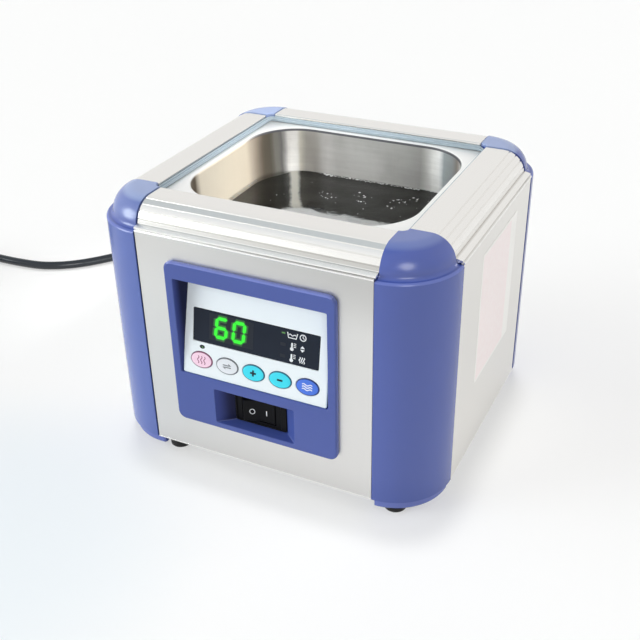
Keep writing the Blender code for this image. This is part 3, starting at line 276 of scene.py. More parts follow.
# metals: two tones, roughness, and the stretch, scale and depth of their streaks
upright = (1.0, 1.0, 0.05)
metal = {
    "panel": streaked(
        (0.740, 0.730, 0.713), (0.700, 0.692, 0.678), 0.38, (0.012, 1.0, 1.0), 2200.0, 0.10,
        shade=0.12  # painted shade: darker towards the upper edge
    ),
    # painted light: a lighter, warmer copy of the panel finish, for the right panel
    "sidePanel": streaked(
        (0.795, 0.782, 0.752), (0.755, 0.743, 0.716), 0.38, (0.012, 1.0, 1.0), 2200.0, 0.10
    ),
    "railX": railLook((0.004, 1.0, 1.0), 0.0, (0.26, 0.60), 0.9),
    "railY": railLook((1.0, 0.004, 1.0), 0.45, (0.10, 0.10), 0.0),
    # painted highlight: paler than the panels, so the rolled edges read as bright lines
    "hem": streaked((0.95, 0.94, 0.925), (0.90, 0.89, 0.875), 0.22, (1.0, 1.0, 1.0), 400.0, 0.04),
    "zinc": streaked((0.56, 0.57, 0.58), (0.44, 0.45, 0.47), 0.42, (1.0, 1.0, 1.0), 160.0, 0.05),
    "cast": streaked((0.66, 0.65, 0.64), (0.58, 0.57, 0.56), 0.40, upright, 900.0, 0.10),
    "steel": streaked((0.58, 0.57, 0.55), (0.50, 0.49, 0.48), 0.30, upright, 900.0, 0.10),
    "brass": streaked((0.66, 0.52, 0.26), (0.56, 0.43, 0.20), 0.30, (1.0, 0.02, 1.0), 1500.0, 0.08),
    "copper": streaked((0.62, 0.33, 0.17), (0.50, 0.25, 0.12), 0.36, upright, 900.0, 0.08),
}
railStrips = {  # heights between which a strip fades in and out
    "dust": (0.1477, 0.1480, 0.1482, 0.1487), "dustTone": (0.30, 0.27, 0.22),
    "dull": (0.1479, 0.1484, 0.1502, 0.1507), "dullTone": (0.42, 0.41, 0.39), "dullAlong": (-0.08, 0.07),
    "bright": (0.1541, 0.1545, 0.1566, 0.1570), "lip": (0.1483, 0.1480), "brightTone": (1.0, 0.995, 0.985),
}


def metalFinish(name):
    look = metal[name]
    finish, wire, inputs = newFinish(name + "Finish", Metallic=1.0)
    streak = noise(wire, look["scale"], 2.0, look["stretch"])
    cloud = noise(wire, 18.0, 3.0)
    tone = tint(wire, 0.55 * streak + 0.45 * cloud, look["dark"], look["light"])
    if "shade" in look:
        x, y = axes(wire)[:2]
        # painted shade, darker towards the upper edge and more so to the right
        share = look["shade"] * y.within(0.030, 0.068) * (0.6 + 1.3 * x.within(-0.06, 0.07))
        tone = tint(wire, share, tone, (0.0, 0.0, 0.0))
    # painted shade in the crease and on a strip, and painted highlights on the edges
    if "dust" in look:
        x, z = axes(wire)[::2]
        tone = tint(wire, look["dust"] * z.strip(*railStrips["dust"]), tone, railStrips["dustTone"])
        start, end = look["dull"]
        grown = start + (end - start) * x.within(*railStrips["dullAlong"])
        tone = tint(wire, z.strip(*railStrips["dull"]) * grown, tone, railStrips["dullTone"])
        bright = z.strip(*railStrips["bright"]) + z.within(*railStrips["lip"])
        tone = tint(wire, look["bright"] * bright, tone, railStrips["brightTone"])
    tone.to(inputs["Base Color"])
    grain = look.get("grain", 0.12)
    (look["rough"] + grain * (streak - 0.5) + 0.06 * (cloud - 0.5)).to(inputs["Roughness"])
    bump(wire, streak, look["streak"], 0.00005).to(inputs["Normal"])
    return finish


tankLook = {
    "rough": 0.40, "metal": 0.15,
    "flangeMetal": 0.7, "flange": (0.96, 0.96, 0.95), "flangeDark": (0.90, 0.90, 0.89),
    # painted reflections: light and dark bands round the wall, once round from the middle of the left side
    "stops": (
        (0.000, (0.84, 0.75, 0.60)),
        (0.066, (0.88, 0.80, 0.66)),
        (0.078, (0.14, 0.11, 0.08)),
        (0.115, (0.16, 0.13, 0.10)),
        (0.135, (0.95, 0.94, 0.91)),
        (0.158, (0.30, 0.29, 0.27)),
        (0.350, (0.90, 0.89, 0.87)),
        (0.385, (0.18, 0.16, 0.13)),
        (0.410, (0.70, 0.67, 0.62)),
        (0.588, (0.66, 0.64, 0.60)),
        (0.608, (0.20, 0.17, 0.15)),
        (0.622, (0.31, 0.34, 0.35)),
        (0.637, (0.38, 0.42, 0.44)),
        (0.643, (1.00, 1.00, 1.00)),
        (0.651, (1.00, 1.00, 0.98)),
        (0.667, (0.38, 0.38, 0.365)),
        (0.740, (0.54, 0.54, 0.525)),
        (0.802, (0.55, 0.55, 0.535)),
        (0.820, (0.66, 0.655, 0.64)),
        (0.829, (0.56, 0.555, 0.54)),
        (0.837, (0.40, 0.385, 0.36)),
        (0.853, (0.38, 0.365, 0.33)),
        (0.859, (0.58, 0.55, 0.47)),
        (0.864, (1.00, 0.99, 0.95)),
        (0.874, (1.00, 0.98, 0.94)),
        (0.881, (0.11, 0.11, 0.11)),
        (0.889, (0.21, 0.205, 0.18)),
        (0.897, (0.10, 0.09, 0.07)),
        (0.909, (0.12, 0.10, 0.075)),
        (0.932, (0.52, 0.44, 0.35)),
        (0.944, (0.76, 0.67, 0.53)),
        (1.000, (0.84, 0.75, 0.60)),
    ),
    "wall": (0.1548, 0.1538), "rear": (0.050, 0.058), "blotchTone": (0.22, 0.21, 0.20),
    # painted shadow: a dark line along the rear where the wall turns out
    "rim": (0.1532, 0.1537, 0.1545, 0.1549), "rimRear": (0.020, 0.050), "rimTone": (0.09, 0.09, 0.10),
    # painted shade: below the water the wall is nearly black, a painted reflection of the corner seam shows
    # on, and the floor is pale
    "line": (0.1263, 0.1255), "sunk": (0.015, 0.0145, 0.011),
    "shore": (-0.050, -0.062), "shoreLow": 0.0055,  # the left shore stays clear
    "seamAt": 0.868, "seamReach": (0.009, 0.003), "seamDeep": (0.058, 0.074), "sunkSeam": (1.0, 0.98, 0.88),
    "floor": (0.0682, 0.0666), "floorLight": (0.97, 0.98, 0.98), "floorDark": (0.90, 0.91, 0.91),
}


def tankFinish():
    finish, wire, inputs = newFinish("tankFinish", Specular_IOR_Level=0.12)
    x, y, z = axes(wire)
    around = wire.sum("ARCTAN2", y - casing["shift"], x) / (2 * math.pi) + 0.5
    streak = noise(wire, 1500.0, 2.0, (1.0, 1.0, 0.02))
    cloud = noise(wire, 60.0, 4.0, (1.0, 1.0, 0.5))
    bent = around + 0.010 * (cloud - 0.5)
    # painted reflections in bands round the wall
    bands = wire.node("ShaderNodeValToRGB", {"stops": tankLook["stops"]}, {0: bent})
    plain = tint(wire, cloud, tankLook["flangeDark"], tankLook["flange"])
    wall = z.within(*tankLook["wall"])
    blotch = noise(wire, 34.0, 4.0, (1.0, 1.0, 0.8)).within(0.30, 0.70)
    brushed = noise(wire, 420.0, 3.0, (0.06, 0.06, 1.0)).within(0.30, 0.70)
    # the rear wall is mottled darker
    worn = (0.33 * blotch + 0.12 * brushed) * y.within(*tankLook["rear"]) + 0.06 * streak
    rubbed = tint(wire, worn, bands, tankLook["blotchTone"])
    # painted shade below the water line, with the corner's painted reflection
    under = (z + tankLook["shoreLow"] * x.within(*tankLook["shore"])).within(*tankLook["line"])
    aside = wire.sum("ABSOLUTE", bent - tankLook["seamAt"], 0.0)
    seam = aside.within(*tankLook["seamReach"]) * z.within(*tankLook["seamDeep"])
    sunk = tint(wire, seam, tankLook["sunk"], tankLook["sunkSeam"])
    bed = tint(wire, cloud, tankLook["floorDark"], tankLook["floorLight"])
    sunk = tint(wire, z.within(*tankLook["floor"]), sunk, bed)
    shell = tint(wire, wall, plain, tint(wire, under, rubbed, sunk))
    rim = z.strip(*tankLook["rim"]) * y.within(*tankLook["rimRear"])
    tint(wire, rim, shell, tankLook["rimTone"]).to(inputs["Base Color"])
    drop = tankLook["flangeMetal"] - tankLook["metal"]
    ((tankLook["flangeMetal"] - drop * wall) * (1 - under)).to(inputs["Metallic"])
    (tankLook["rough"] + 0.12 * (streak - 0.5) + 0.14 * (cloud - 0.5)).to(inputs["Roughness"])
    bump(wire, streak, 0.06, 0.00005).to(inputs["Normal"])
    return finish


waterLook = {"light": (0.985, 0.99, 0.985), "dark": (0.955, 0.965, 0.955), "rough": 0.02, "ripple": 0.16}


def waterFinish():
    finish, wire, inputs = newFinish("waterFinish", IOR=1.33, Transmission_Weight=1.0, Specular_IOR_Level=0.3)
    cloud = noise(wire, 26.0, 4.0)
    tint(wire, cloud, waterLook["dark"], waterLook["light"]).to(inputs["Base Color"])
    (waterLook["rough"] * cloud).to(inputs["Roughness"])
    bump(wire, noise(wire, 95.0, 2.0), waterLook["ripple"], 0.0015).to(inputs["Normal"])
    return finish


def boardFinish():
    finish, wire, inputs = newFinish("boardFinish")
    mesh = noise(wire, 700.0, 1.0)
    track = noise(wire, 180.0, 0.0, (1.0, 0.2, 1.0)).within(0.52, 0.56)
    tint(wire, track, (0.020, 0.115, 0.045), (0.040, 0.19, 0.075)).to(inputs["Base Color"])
    (0.42 + 0.10 * (mesh - 0.5)).to(inputs["Roughness"])
    bump(wire, track, 0.2, 0.00005).to(inputs["Normal"])
    return finish


def smokeFinish():
    finish, wire, inputs = newFinish("smokeFinish", Specular_IOR_Level=0.10)
    cloud = noise(wire, 40.0, 2.0)
    tint(wire, cloud, (0.0135, 0.018, 0.029), (0.0185, 0.024, 0.037)).to(inputs["Base Color"])
    (0.22 + 0.06 * (cloud - 0.5)).to(inputs["Roughness"])
    return finish


# colour and strength of what shines
shining = {
    "digit": ((0.012, 1.0, 0.010), 1.0), "haloNear": ((0.004, 0.20, 0.006), 1.0),
    "haloFar": ((0.002, 0.045, 0.004), 1.0), "glint": ((0.10, 0.26, 0.07), 0.9),
}


def lampFinish(name, colour, strength):
    base = (0.01, 0.05, 0.01)
    finish, wire, inputs = newFinish(name + "Finish", Base_Color=base, Emission_Strength=strength)
    flicker = noise(wire, 900.0, 1.0)
    tint(wire, flicker, [0.85 * c for c in colour], colour).to(inputs["Emission Color"])
    (0.35 + 0.1 * flicker).to(inputs["Roughness"])
    return finish


def bubbleFinish():
    finish, wire, inputs = newFinish("bubbleFinish", IOR=1.33)
    cloud = noise(wire, 400.0, 1.0)
    tint(wire, cloud, (0.34, 0.34, 0.33), (0.80, 0.81, 0.80)).to(inputs["Base Color"])
    (0.10 + 0.1 * cloud).to(inputs["Roughness"])
    return finish


looks = {name: plasticFinish(name) for name in plastic}
looks.update({name: metalFinish(name) for name in metal})
looks["tank"] = tankFinish()
looks["water"] = waterFinish()
looks["board"] = boardFinish()
looks["smoke"] = smokeFinish()
looks["bubble"] = bubbleFinish()
looks.update({name: lampFinish(name, *how) for name, how in shining.items()})
print("%d finishes made" % len(looks))


# outlines and meshes

def arc(centre, radius, start, end, steps):
    turns = [math.radians(start + (end - start) * k / steps) for k in range(steps + 1)]
    return [(centre[0] + radius * math.cos(a), centre[1] + radius * math.sin(a)) for a in turns]


def roundedRect(width, height, radius, steps, centre=(0.0, 0.0)):
    across, up = width / 2 - radius, height / 2 - radius
    corners = ((across, up, 0.0), (-across, up, 90.0), (-across, -up, 180.0), (across, -up, 270.0))
    points = []
    for x, y, start in corners:
        points += arc((centre[0] + x, centre[1] + y), radius, start, start + 90.0, steps)
    return points


def ellipse(width, height, steps, centre=(0.0, 0.0)):
    turns = [2 * math.pi * k / steps for k in range(steps)]
    return [(centre[0] + width / 2 * math.cos(a), centre[1] + height / 2 * math.sin(a)) for a in turns]


def cornerRing(reach, steps):
    # a ring that runs this far outside the axes of the four corners
    return roundedRect(2 * (casing["cornerX"] + reach), 2 * (casing["cornerY"] + reach), reach, steps)


def level(outline, z):
    return [(x, y, z) for x, y in outline]


def eased(share):
    return share * share * (3 - 2 * share)


def placed(at, *turns):
    # a place in metres, then a turn about each named axis
    matrix = Matrix.Translation(at)
    for axis, angle in turns:
        matrix = matrix @ Matrix.Rotation(angle, 4, axis)
    return matrix


def bridge(bm, rings):
    for low, high in zip(rings, rings[1:]):
        for k in range(len(low)):
            after = (k + 1) % len(low)
            bm.faces.new((low[k], low[after], high[after], high[k]))


def loft(loops, bm=None, start=True, end=True):
    bm = bm or bmesh.new()
    rings = [[bm.verts.new(point) for point in loop] for loop in loops]
    bridge(bm, rings)
    if start:
        bm.faces.new(rings[0][::-1])
    if end:
        bm.faces.new(rings[-1])
    return bm


def prism(bm, outline, low, high):
    return loft([level(outline, low), level(outline, high)], bm)


def turned(profile, steps=48):
    bm = bmesh.new()
    verts = [bm.verts.new((radius, 0.0, z)) for radius, z in profile]
    edges = [bm.edges.new(pair) for pair in zip(verts, verts[1:])]
    whole = 2 * math.pi
    bmesh.ops.spin(bm, geom=verts + edges, cent=(0, 0, 0), axis=(0, 0, 1), angle=whole, steps=steps)
    bmesh.ops.remove_doubles(bm, verts=bm.verts, dist=1e-7)
    return bm


def settle(piece, look, body="housing", stands=(), slot=None):
    for name in [look] if isinstance(look, str) else look:
        piece.data.materials.append(looks[name])
    scene.collection.objects.link(piece)
    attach(piece, body)
    if stands:
        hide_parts(*stands)
    return piece


def newPiece(name, bm, look, place=shifted, sharp=35.0, **how):
    bmesh.ops.recalc_face_normals(bm, faces=bm.faces)
    bmesh.ops.transform(bm, matrix=place, verts=bm.verts)
    mesh = bpy.data.meshes.new(name)
    bm.to_mesh(mesh)
    bm.free()
    mesh.shade_smooth()
    mesh.set_sharp_from_angle(angle=math.radians(sharp))
    piece = bpy.data.objects.new(name, mesh)
    piece.modifiers.new("evenShade", "WEIGHTED_NORMAL").keep_sharp = True
    return settle(piece, look, **how)


def flatPlate(name, outlines, thick, edge, look, place, **how):
    # the first outline is the rim, the others are holes
    curve = bpy.data.curves.new(name, "CURVE")
    curve.dimensions = "2D"
    curve.fill_mode = "BOTH"
    curve.extrude = thick / 2 - edge
    curve.bevel_depth = edge
    curve.bevel_resolution = 2
    curve.offset = -edge
    for k, outline in enumerate(outlines):
        spline = curve.splines.new("POLY")
        spline.points.add(len(outline) - 1)
        ordered = outline if k == 0 else outline[::-1]
        for point, (x, y) in zip(spline.points, ordered):
            point.co = (x, y, 0.0, 1.0)
        spline.use_cyclic_u = True
    piece = bpy.data.objects.new(name, curve)
    piece.matrix_world = place
    return settle(piece, look, **how)


def cornerPlace(degrees, z, shift=0.0):
    turn = math.radians(degrees + 45.0)
    x = math.copysign(casing["cornerX"] + shift, math.cos(turn))
    y = math.copysign(casing["cornerY"] + shift, math.sin(turn)) + casing["shift"]
    return placed((x, y, z), ("Z", math.radians(degrees)))


def sideFacts(side):
    # a side's turn, half its length, how far out its corners' axes are, and its slide
    half, reach = casing["cornerX"], casing["cornerY"]
    if side in ("left", "right"):
        half, reach = reach, half
    return math.radians(sideTurns[side]), half, reach, casing["aside"].get(side, 0.0)


# mains cord: the same route as the solid, metres in the casing's own frame
cord = {
    "radius": 0.00325, "x": -0.045, "z": 0.030, "bush": 0.028,
    "coilX": -0.390, "coilY": 0.009, "outer": 0.0485, "turns": 7.25, "step": 0.0072, "layer": 0.0071,
    "low": 0.00455, "points": 48, "start": quarter, "pitch": 0.004,
    "tail": 0.045, "fall": (0.25, 0.45, 0.65, 0.82), "flat": (0.95, 1.0), "plugAxis": 0.0092,
    "route": (
        (-0.0452, 0.1420, 0.0288), (-0.0490, 0.1610, 0.0215), (-0.0600, 0.1800, 0.0110),
        (-0.0780, 0.1930, 0.0046), (-0.1020, 0.1985, 0.00345), (-0.1360, 0.1960, 0.00345),
        (-0.1710, 0.1830, 0.00345), (-0.2060, 0.1560, 0.00345), (-0.2310, 0.1240, 0.00345),
        (-0.2490, 0.0965, 0.00345), (-0.2680, 0.0760, 0.00345), (-0.2890, 0.0640, 0.00345),
        (-0.3110, 0.0602, 0.00345), (-0.3360, 0.0592, 0.00345),
    ),
}


def smoothPath(points, pitch):
    path = [Vector(point) for point in points]
    ends = [2 * path[0] - path[1], *path, 2 * path[-1] - path[-2]]
    fine = []
    for a, b, c, d in zip(ends, ends[1:], ends[2:], ends[3:]):
        count = max(2, round((c - b).length / pitch))
        for k in range(count):
            t = k / count
            bend = (2 * a - 5 * b + 4 * c - d) * t * t + (3 * b - a - 3 * c + d) * t ** 3
            fine.append(0.5 * (2 * b + (c - a) * t + bend))
    fine.append(path[-1])
    return fine


def coilPath():
    run = 2 * cord["radius"]
    centre = Vector((cord["coilX"], cord["coilY"], 0.0))
    points = [centre + Vector((run, cord["outer"], cord["low"]))]
    for k in range(round(cord["turns"] * cord["points"]) + 1):
        turns = k / cord["points"]
        past = turns - cord["turns"] / 2
        radius = cord["outer"] - cord["step"] * (cord["turns"] / 2 - abs(past))
        climb = min(1.0, max(0.0, 0.5 + 2 * past))
        angle = cord["start"] + 2 * math.pi * turns
        height = cord["low"] + cord["layer"] * climb
        points.append(centre + Vector((radius * math.cos(angle), radius * math.sin(angle), height)))
    end = points[-1]
    drop = end.z - cord["plugAxis"]
    for share in cord["fall"]:
        points.append(end + Vector((0.0, -cord["tail"] * share, -drop * eased(share))))
    for share in cord["flat"]:
        points.append(end + Vector((0.0, -cord["tail"] * share, -drop)))
    points.append(end + Vector((0.0, -cord["tail"] - run, -drop)))
    return points


def makeCord():
    exitY = halfY + cord["bush"] + casing["gap"]
    coil = coilPath()
    run = 2 * cord["radius"]
    route = [(cord["x"], exitY, cord["z"]), (cord["x"], exitY + run, cord["z"]), *cord["route"]]
    free = smoothPath([*route, coil[0] + Vector((run, 0.0, 0.0)), coil[0]], cord["pitch"])
    path = [point + Vector((0.0, casing["shift"], 0.0)) for point in [*free, *coil[1:]]]
    curve = bpy.data.curves.new("mainsCord", "CURVE")
    curve.dimensions = "3D"
    curve.bevel_depth = cord["radius"]
    curve.bevel_resolution = 5
    curve.use_fill_caps = True
    spline = curve.splines.new("POLY")
    spline.points.add(len(path) - 1)
    for point, place in zip(spline.points, path):
        point.co = (*place, 1.0)
    piece = bpy.data.objects.new("mainsCord", curve)
    settle(piece, "cord", stands=("mains_cord", "cord_coil"), slot="cord")
    length = sum((b - a).length for a, b in zip(path, path[1:]))
    return piece, path, length


cordPiece, cordLine, cordLength = makeCord()
print("cord laid, %.3f m" % cordLength)

bush = {
    "wide": 0.0062, "end": 0.0046, "ribs": 4, "neck": 0.84, "edge": 0.0006, "lip": 0.0003,
    "flange": 0.0085, "flangeThick": 0.0025, "inside": 0.008,
}


def makeBush():
    length, flange, edge, lip = cord["bush"], bush["flangeThick"], bush["edge"], bush["lip"]
    profile = [(0.0, length), (bush["end"] - edge, length), (bush["end"], length - edge)]
    pitch = (length - flange) / bush["ribs"]
    for k in range(bush["ribs"]):
        low = flange + pitch * (bush["ribs"] - 1 - k)
        radius = bush["end"] + (bush["wide"] - bush["end"]) * (k + 1) / bush["ribs"]
        neck = bush["neck"] * radius
        rib = ((radius, 0.50), (radius, 0.46), (neck + lip, 0.42), (neck, 0.36), (neck, 0.04))
        profile += [(out, low + share * pitch) for out, share in rib]
    profile += [(bush["flange"] - edge, flange), (bush["flange"], flange - edge), (bush["flange"], lip)]
    profile += [(bush["wide"], lip), (bush["wide"], -bush["inside"]), (0.0, -bush["inside"])]
    place = placed((cord["x"], halfY + casing["shift"], cord["z"]), ("X", -quarter))
    return newPiece("cordBush", turned(profile), "rubber", place, stands=("cord_bush",), slot="rubber")


plug = {
    "wide": 0.024, "thick": 0.018, "long": 0.030, "corner": 0.004, "waist": (0.8, 0.75),
    "neck": 0.016, "neckRadius": 0.0046,
    "reliefs": 3, "reliefFrom": 0.0022, "reliefEnd": 0.0096, "reliefCut": 0.86,
    "ridges": 5, "ridgeDeep": 0.0005, "ridgeFrom": 0.42, "pitch": 0.0026,
}


def makePlug():
    neck, bend = 2 * plug["neckRadius"], plug["neckRadius"] - 0.0003
    wide, thick, corner = plug["wide"], plug["thick"], plug["corner"]
    slim, full = (neck, neck, bend), (wide, thick, corner)
    waist = (plug["waist"][0] * wide, plug["waist"][1] * thick, corner)
    loops = []

    def section(width, height, radius, along):
        loops.append(level(roundedRect(width, height, radius, 6), along))

    def ribs(first, count, crest, groove):
        for k in range(count):
            at = first + plug["pitch"] * k
            for size, step in ((crest, 0.0), (groove, 0.0005), (groove, 0.0011), (crest, 0.0016)):
                section(*size, at + step)

    def taper(start, end, low, high, shares):
        for share in shares:
            size = [a + (b - a) * eased(share) for a, b in zip(start, end)]
            section(*size, low + (high - low) * share)

    section(neck - 0.001, neck - 0.001, bend - 0.0005, 0.0)
    section(*slim, 0.0006)
    ribs(plug["reliefFrom"], plug["reliefs"], slim, [plug["reliefCut"] * size for size in slim])
    taper(slim, waist, plug["reliefEnd"], plug["neck"], (0.15, 0.4, 0.7, 1.0))
    taper(waist, full, plug["neck"], plug["neck"] + 0.35 * plug["long"], (0.5, 1.0))
    cut = 2 * plug["ridgeDeep"]
    first = plug["neck"] + plug["ridgeFrom"] * plug["long"]
    ribs(first, plug["ridges"], full, (wide - cut, thick - cut, corner))
    end = plug["neck"] + plug["long"]
    for cut, bite, back in ((0.0, 0.0, 0.0008), (0.0005, 0.0002, 0.0002), (0.0016, 0.0008, 0.0)):
        section(wide - cut, thick - cut, corner - bite, end - back)
    place = placed(cordLine[-1] + Vector((0.0, -casing["gap"], 0.0)), ("X", quarter))
    return newPiece("plugBody", loft(loops), "black", place, stands=("plug_body",), slot="black")


tie = {"turn": math.radians(-35.0), "thick": 0.0008, "wide": 0.006, "play": 0.0005}


def makeTie():
    inner = cord["outer"] - cord["step"] * cord["turns"] / 2
    middle = (cord["outer"] + inner) / 2
    play = cord["radius"] + tie["play"]
    width, height = cord["outer"] - inner + 2 * play, cord["layer"] + 2 * play
    rims = [roundedRect(width + 2 * w, height + 2 * w, cord["radius"] + w, 8) for w in (tie["thick"], 0.0)]
    x = cord["coilX"] + middle * math.cos(tie["turn"])
    y = cord["coilY"] + middle * math.sin(tie["turn"]) + casing["shift"]
    place = placed((x, y, cord["low"] + cord["layer"] / 2), ("Z", tie["turn"]), ("X", quarter))
    return flatPlate("cordTie", rims, tie["wide"], 0.0002, "black", place, stands=("cord_tie",), slot="black")


bushPiece, plugPiece, tiePiece = makeBush(), makePlug(), makeTie()
print("cord ends made")

# corner posts and the blocks under them
post = {"face": 0.0317, "wall": 0.002, "flange": 0.008, "edge": 0.0016}
block = {
    "inset": 0.002, "end": 0.001, "deep": 0.006, "edge": 0.0015,
    # the front left one has a tongue that runs on under the panel
    "tongue": -0.0034, "tongueWide": 0.0046, "nick": 0.0008,
}


def postOutline(outer):
    face, inner, flange = post["face"], post["face"] - post["wall"], post["flange"]
    points = arc((0.0, 0.0), outer, 0.0, 90.0, 36)
    points += [(0.0, face), (-flange, face), (-flange, inner)]
    points += arc((0.0, 0.0), inner, 90.0, 0.0, 24)
    points += [(inner, -flange), (face, -flange), (face, 0.0)]
    return points


def blockOutline(outer, tongue):
    reach = math.degrees(math.asin(block["end"] / outer))
    points = [(block["end"], block["end"]), *arc((0.0, 0.0), outer, reach, 90.0 - reach, 36)]
    if tongue:
        low = casing["round"] - block["inset"] - block["tongueWide"]
        end, nick = block["tongue"], block["nick"]
        points += [(end + nick, outer), (end, outer - nick)]
        points += [(end, low + nick), (end + nick, low), (block["end"], low)]
    return points


def makePosts():
    tall = casing["high"] - casing["low"]
    edge = [(0.0004, 0.0), (0.0001, 0.0001), (0.0, 0.0004)]
    for inset, up in arc((0.0, 0.0), post["edge"], 0.0, 90.0, 6):
        edge.append((post["edge"] - inset, tall - post["edge"] + up))
    foot = [(block["edge"] - inset, block["edge"] - up)
            for inset, up in arc((0.0, 0.0), block["edge"], 90.0, 0.0, 4)]
    foot.append((0.0, block["deep"] - casing["gap"]))
    blockRound = casing["round"] - block["inset"]
    for name, degrees in cornerTurns.items():
        bm = loft([level(postOutline(casing["round"] - inset), z) for inset, z in edge])
        bm.normal_update()
        for face in bm.faces:  # painted highlight: the rounded head is a little paler
            high = face.calc_center_median().z > tall - 0.8 * post["edge"]
            face.material_index = int(high and abs(face.normal.z) < 0.95)
        # painted light: the left posts get the paler copy of the blue
        look = "bluePale" if name.endswith("left") else "blue"
        newPiece("post_" + name, bm, (look, "blueEdge"), cornerPlace(degrees, casing["low"]),
                 stands=("corner_post_" + name,), slot="blue")
        tongue = name == "front_left"
        bm = loft([level(blockOutline(blockRound - inset, tongue), z) for inset, z in foot])
        # painted highlight: the blocks are wholly in the paler blue
        newPiece("block_" + name, bm, "blueEdge", cornerPlace(degrees, casing["low"] - block["deep"]),
                 stands=("corner_block_" + name,), slot="blue")


makePosts()
print("posts made")

vents = {"count": 9, "pitch": 0.010, "wide": 0.004, "long": 0.026, "z": 0.062, "cordHole": 0.013}
panelEdge = {"corner": 0.0005, "soft": 0.00035, "bezelPlay": 0.0006}
middleZ = (casing["low"] + casing["high"]) / 2
bezel = {
    "wide": 0.1016, "tall": 0.102, "low": 0.031, "proud": 0.003, "corner": 0.005, "edge": 0.0012,
    "rim": 0.0032, "mouthEdge": 0.0006,
}


def panelPlace(side):
    turn, _, reach, _ = sideFacts(side)
    out = reach + casing["round"] - casing["sheet"] / 2
    at = (out * math.cos(turn), out * math.sin(turn) + casing["shift"], middleZ)
    return placed(at, ("Z", turn + quarter), ("X", quarter))


def makePanels():
    tall, lift, corner = casing["high"] - casing["low"], casing["lift"], panelEdge["corner"]
    wide, high = (bezel[key] - 2 * bezel["rim"] + panelEdge["bezelPlay"] for key in ("wide", "tall"))
    front = roundedRect(wide, high, corner, 2, (0.0, bezel["low"] + bezel["tall"] / 2 - middleZ))
    rear = [ellipse(vents["cordHole"], vents["cordHole"], 40, (-cord["x"], cord["z"] - middleZ))]
    for k in range(vents["count"]):
        centre = ((k - (vents["count"] - 1) / 2) * vents["pitch"], vents["z"] - middleZ)
        rear.append(roundedRect(vents["wide"], vents["long"], vents["wide"] / 2 - 1e-5, 6, centre))
    holes = {"front": [front], "rear": rear}
    for side in sideTurns:
        _, half, _, aside = sideFacts(side)
        short = casing["short"].get(side, 0.0)
        wide = 2 * (half - casing["seam"]) - short
        rim = roundedRect(wide, tall + lift, corner, 2, (aside - short / 2, lift / 2))
        # painted light: the right panel gets the lighter copy
        look = "sidePanel" if side == "right" else "panel"
        flatPlate("panel_" + side, [rim, *holes.get(side, [])], casing["sheet"], panelEdge["soft"], look,
                  panelPlace(side), stands=(side + "_panel",), slot="aluminium")


# a rolled edge along the foot and the head of each panel, with a paler finish as a painted highlight, and a
# black strip in each seam as painted shade
hem = {"foot": 0.00055, "head": 0.00080, "proud": 0.00012}
strip = {"deep": 0.0014, "wide": 0.0024, "corner": 0.0002, "sunk": 0.0014, "inset": 0.0013}


def makeHems():
    heights = {hem["foot"]: casing["low"] + hem["foot"]}
    heights[hem["head"]] = casing["high"] + casing["lift"] - hem["head"]
    for side in sideTurns:
        turn, half, reach, aside = sideFacts(side)
        out, half = reach + casing["round"], half - casing["seam"]
        place = shifted @ Matrix.Rotation(turn, 4, "Z")
        bm = bmesh.new()
        for size, z in heights.items():
            section = arc((hem["proud"] - size, 0.0), size, -90.0, 90.0, 10)
            loft([[(out + x, along + aside, z + up) for x, up in section] for along in (-half, half)], bm)
        newPiece("hem_" + side, bm, "hem", place, sharp=50.0, slot="aluminium")
        # painted shade: a black strip stands in the gap of each seam
        bm = bmesh.new()
        end = half + casing["seam"] - strip["inset"]
        for along in (-end, end):
            centre = (out - strip["sunk"], along)
            rim = roundedRect(strip["deep"], strip["wide"], strip["corner"], 3, centre)
            prism(bm, rim, casing["low"], casing["high"])
        newPiece("seamStrip_" + side, bm, "black", place, slot="black")


# pan-head screws that hold the rear panel
screws = {
    "x": 0.060, "z": (0.020, 0.134), "radius": 0.0032, "tall": 0.0016,
    "dome": (0.3, 0.55, 0.75, 0.9, 0.97), "slot": 0.0009, "slotLong": 1.1, "slotCorner": 0.0001,
}


def makeScrews():
    radius, tall, slot = screws["radius"], screws["tall"], screws["slot"]
    profile = [(0.0, tall)] + [(radius * share, tall * math.sqrt(1 - share ** 4)) for share in screws["dome"]]
    profile += [(radius, 0.0), (0.0, 0.0)]
    spots = [(x, z) for z in screws["z"] for x in (-screws["x"], screws["x"])]
    for k, (x, z) in enumerate(spots):
        turn = placed((x, halfY + casing["shift"], z), ("X", -quarter), ("Z", 0.5 + 1.3 * k))
        newPiece("screw_%d" % k, turned(profile, 32), "steel", turn, sharp=50.0, slot="steel")
        bm = bmesh.new()
        reach = screws["slotLong"] * radius
        for long, wide in ((reach, slot), (slot, reach)):
            prism(bm, roundedRect(long, wide, screws["slotCorner"], 2), 0.4 * tall, tall + 0.00006)
        newPiece("screwCross_%d" % k, bm, "ink", turn)


makePanels()
makeHems()
makeScrews()
print("panels made")

# top rails and corner caps share one hooked section
rail = {
    "rise": 0.0143, "setback": 0.0046, "round": 0.0135, "wall": 0.002, "inner": 0.0045, "edge": 0.0008,
    "lip": 0.0008, "lipThick": 0.001, "shelf": 0.012, "flangeRise": 0.0102, "tankWall": 0.001,
    "grooves": (20.0, 38.5, 55.5, 73.5), "grooveDeep": 0.0004, "grooveHalf": 1.8, "flat": 0.6,
}
cap = {"proud": 0.0004, "flare": 0.0022, "spigot": 0.008, "steps": 36}


def facet(centre, radius, start, end):
    # a strip between two grooves, flatter than the full round
    steps = 4
    curve = arc(centre, radius, start, end, steps)
    (x0, y0), (x1, y1) = curve[0], curve[-1]
    points = []
    for k, (x, y) in enumerate(curve):
        share = k / steps
        flatX, flatY = x0 + (x1 - x0) * share, y0 + (y1 - y0) * share
        points.append((x + (flatX - x) * rail["flat"], y + (flatY - y) * rail["flat"]))
    return points


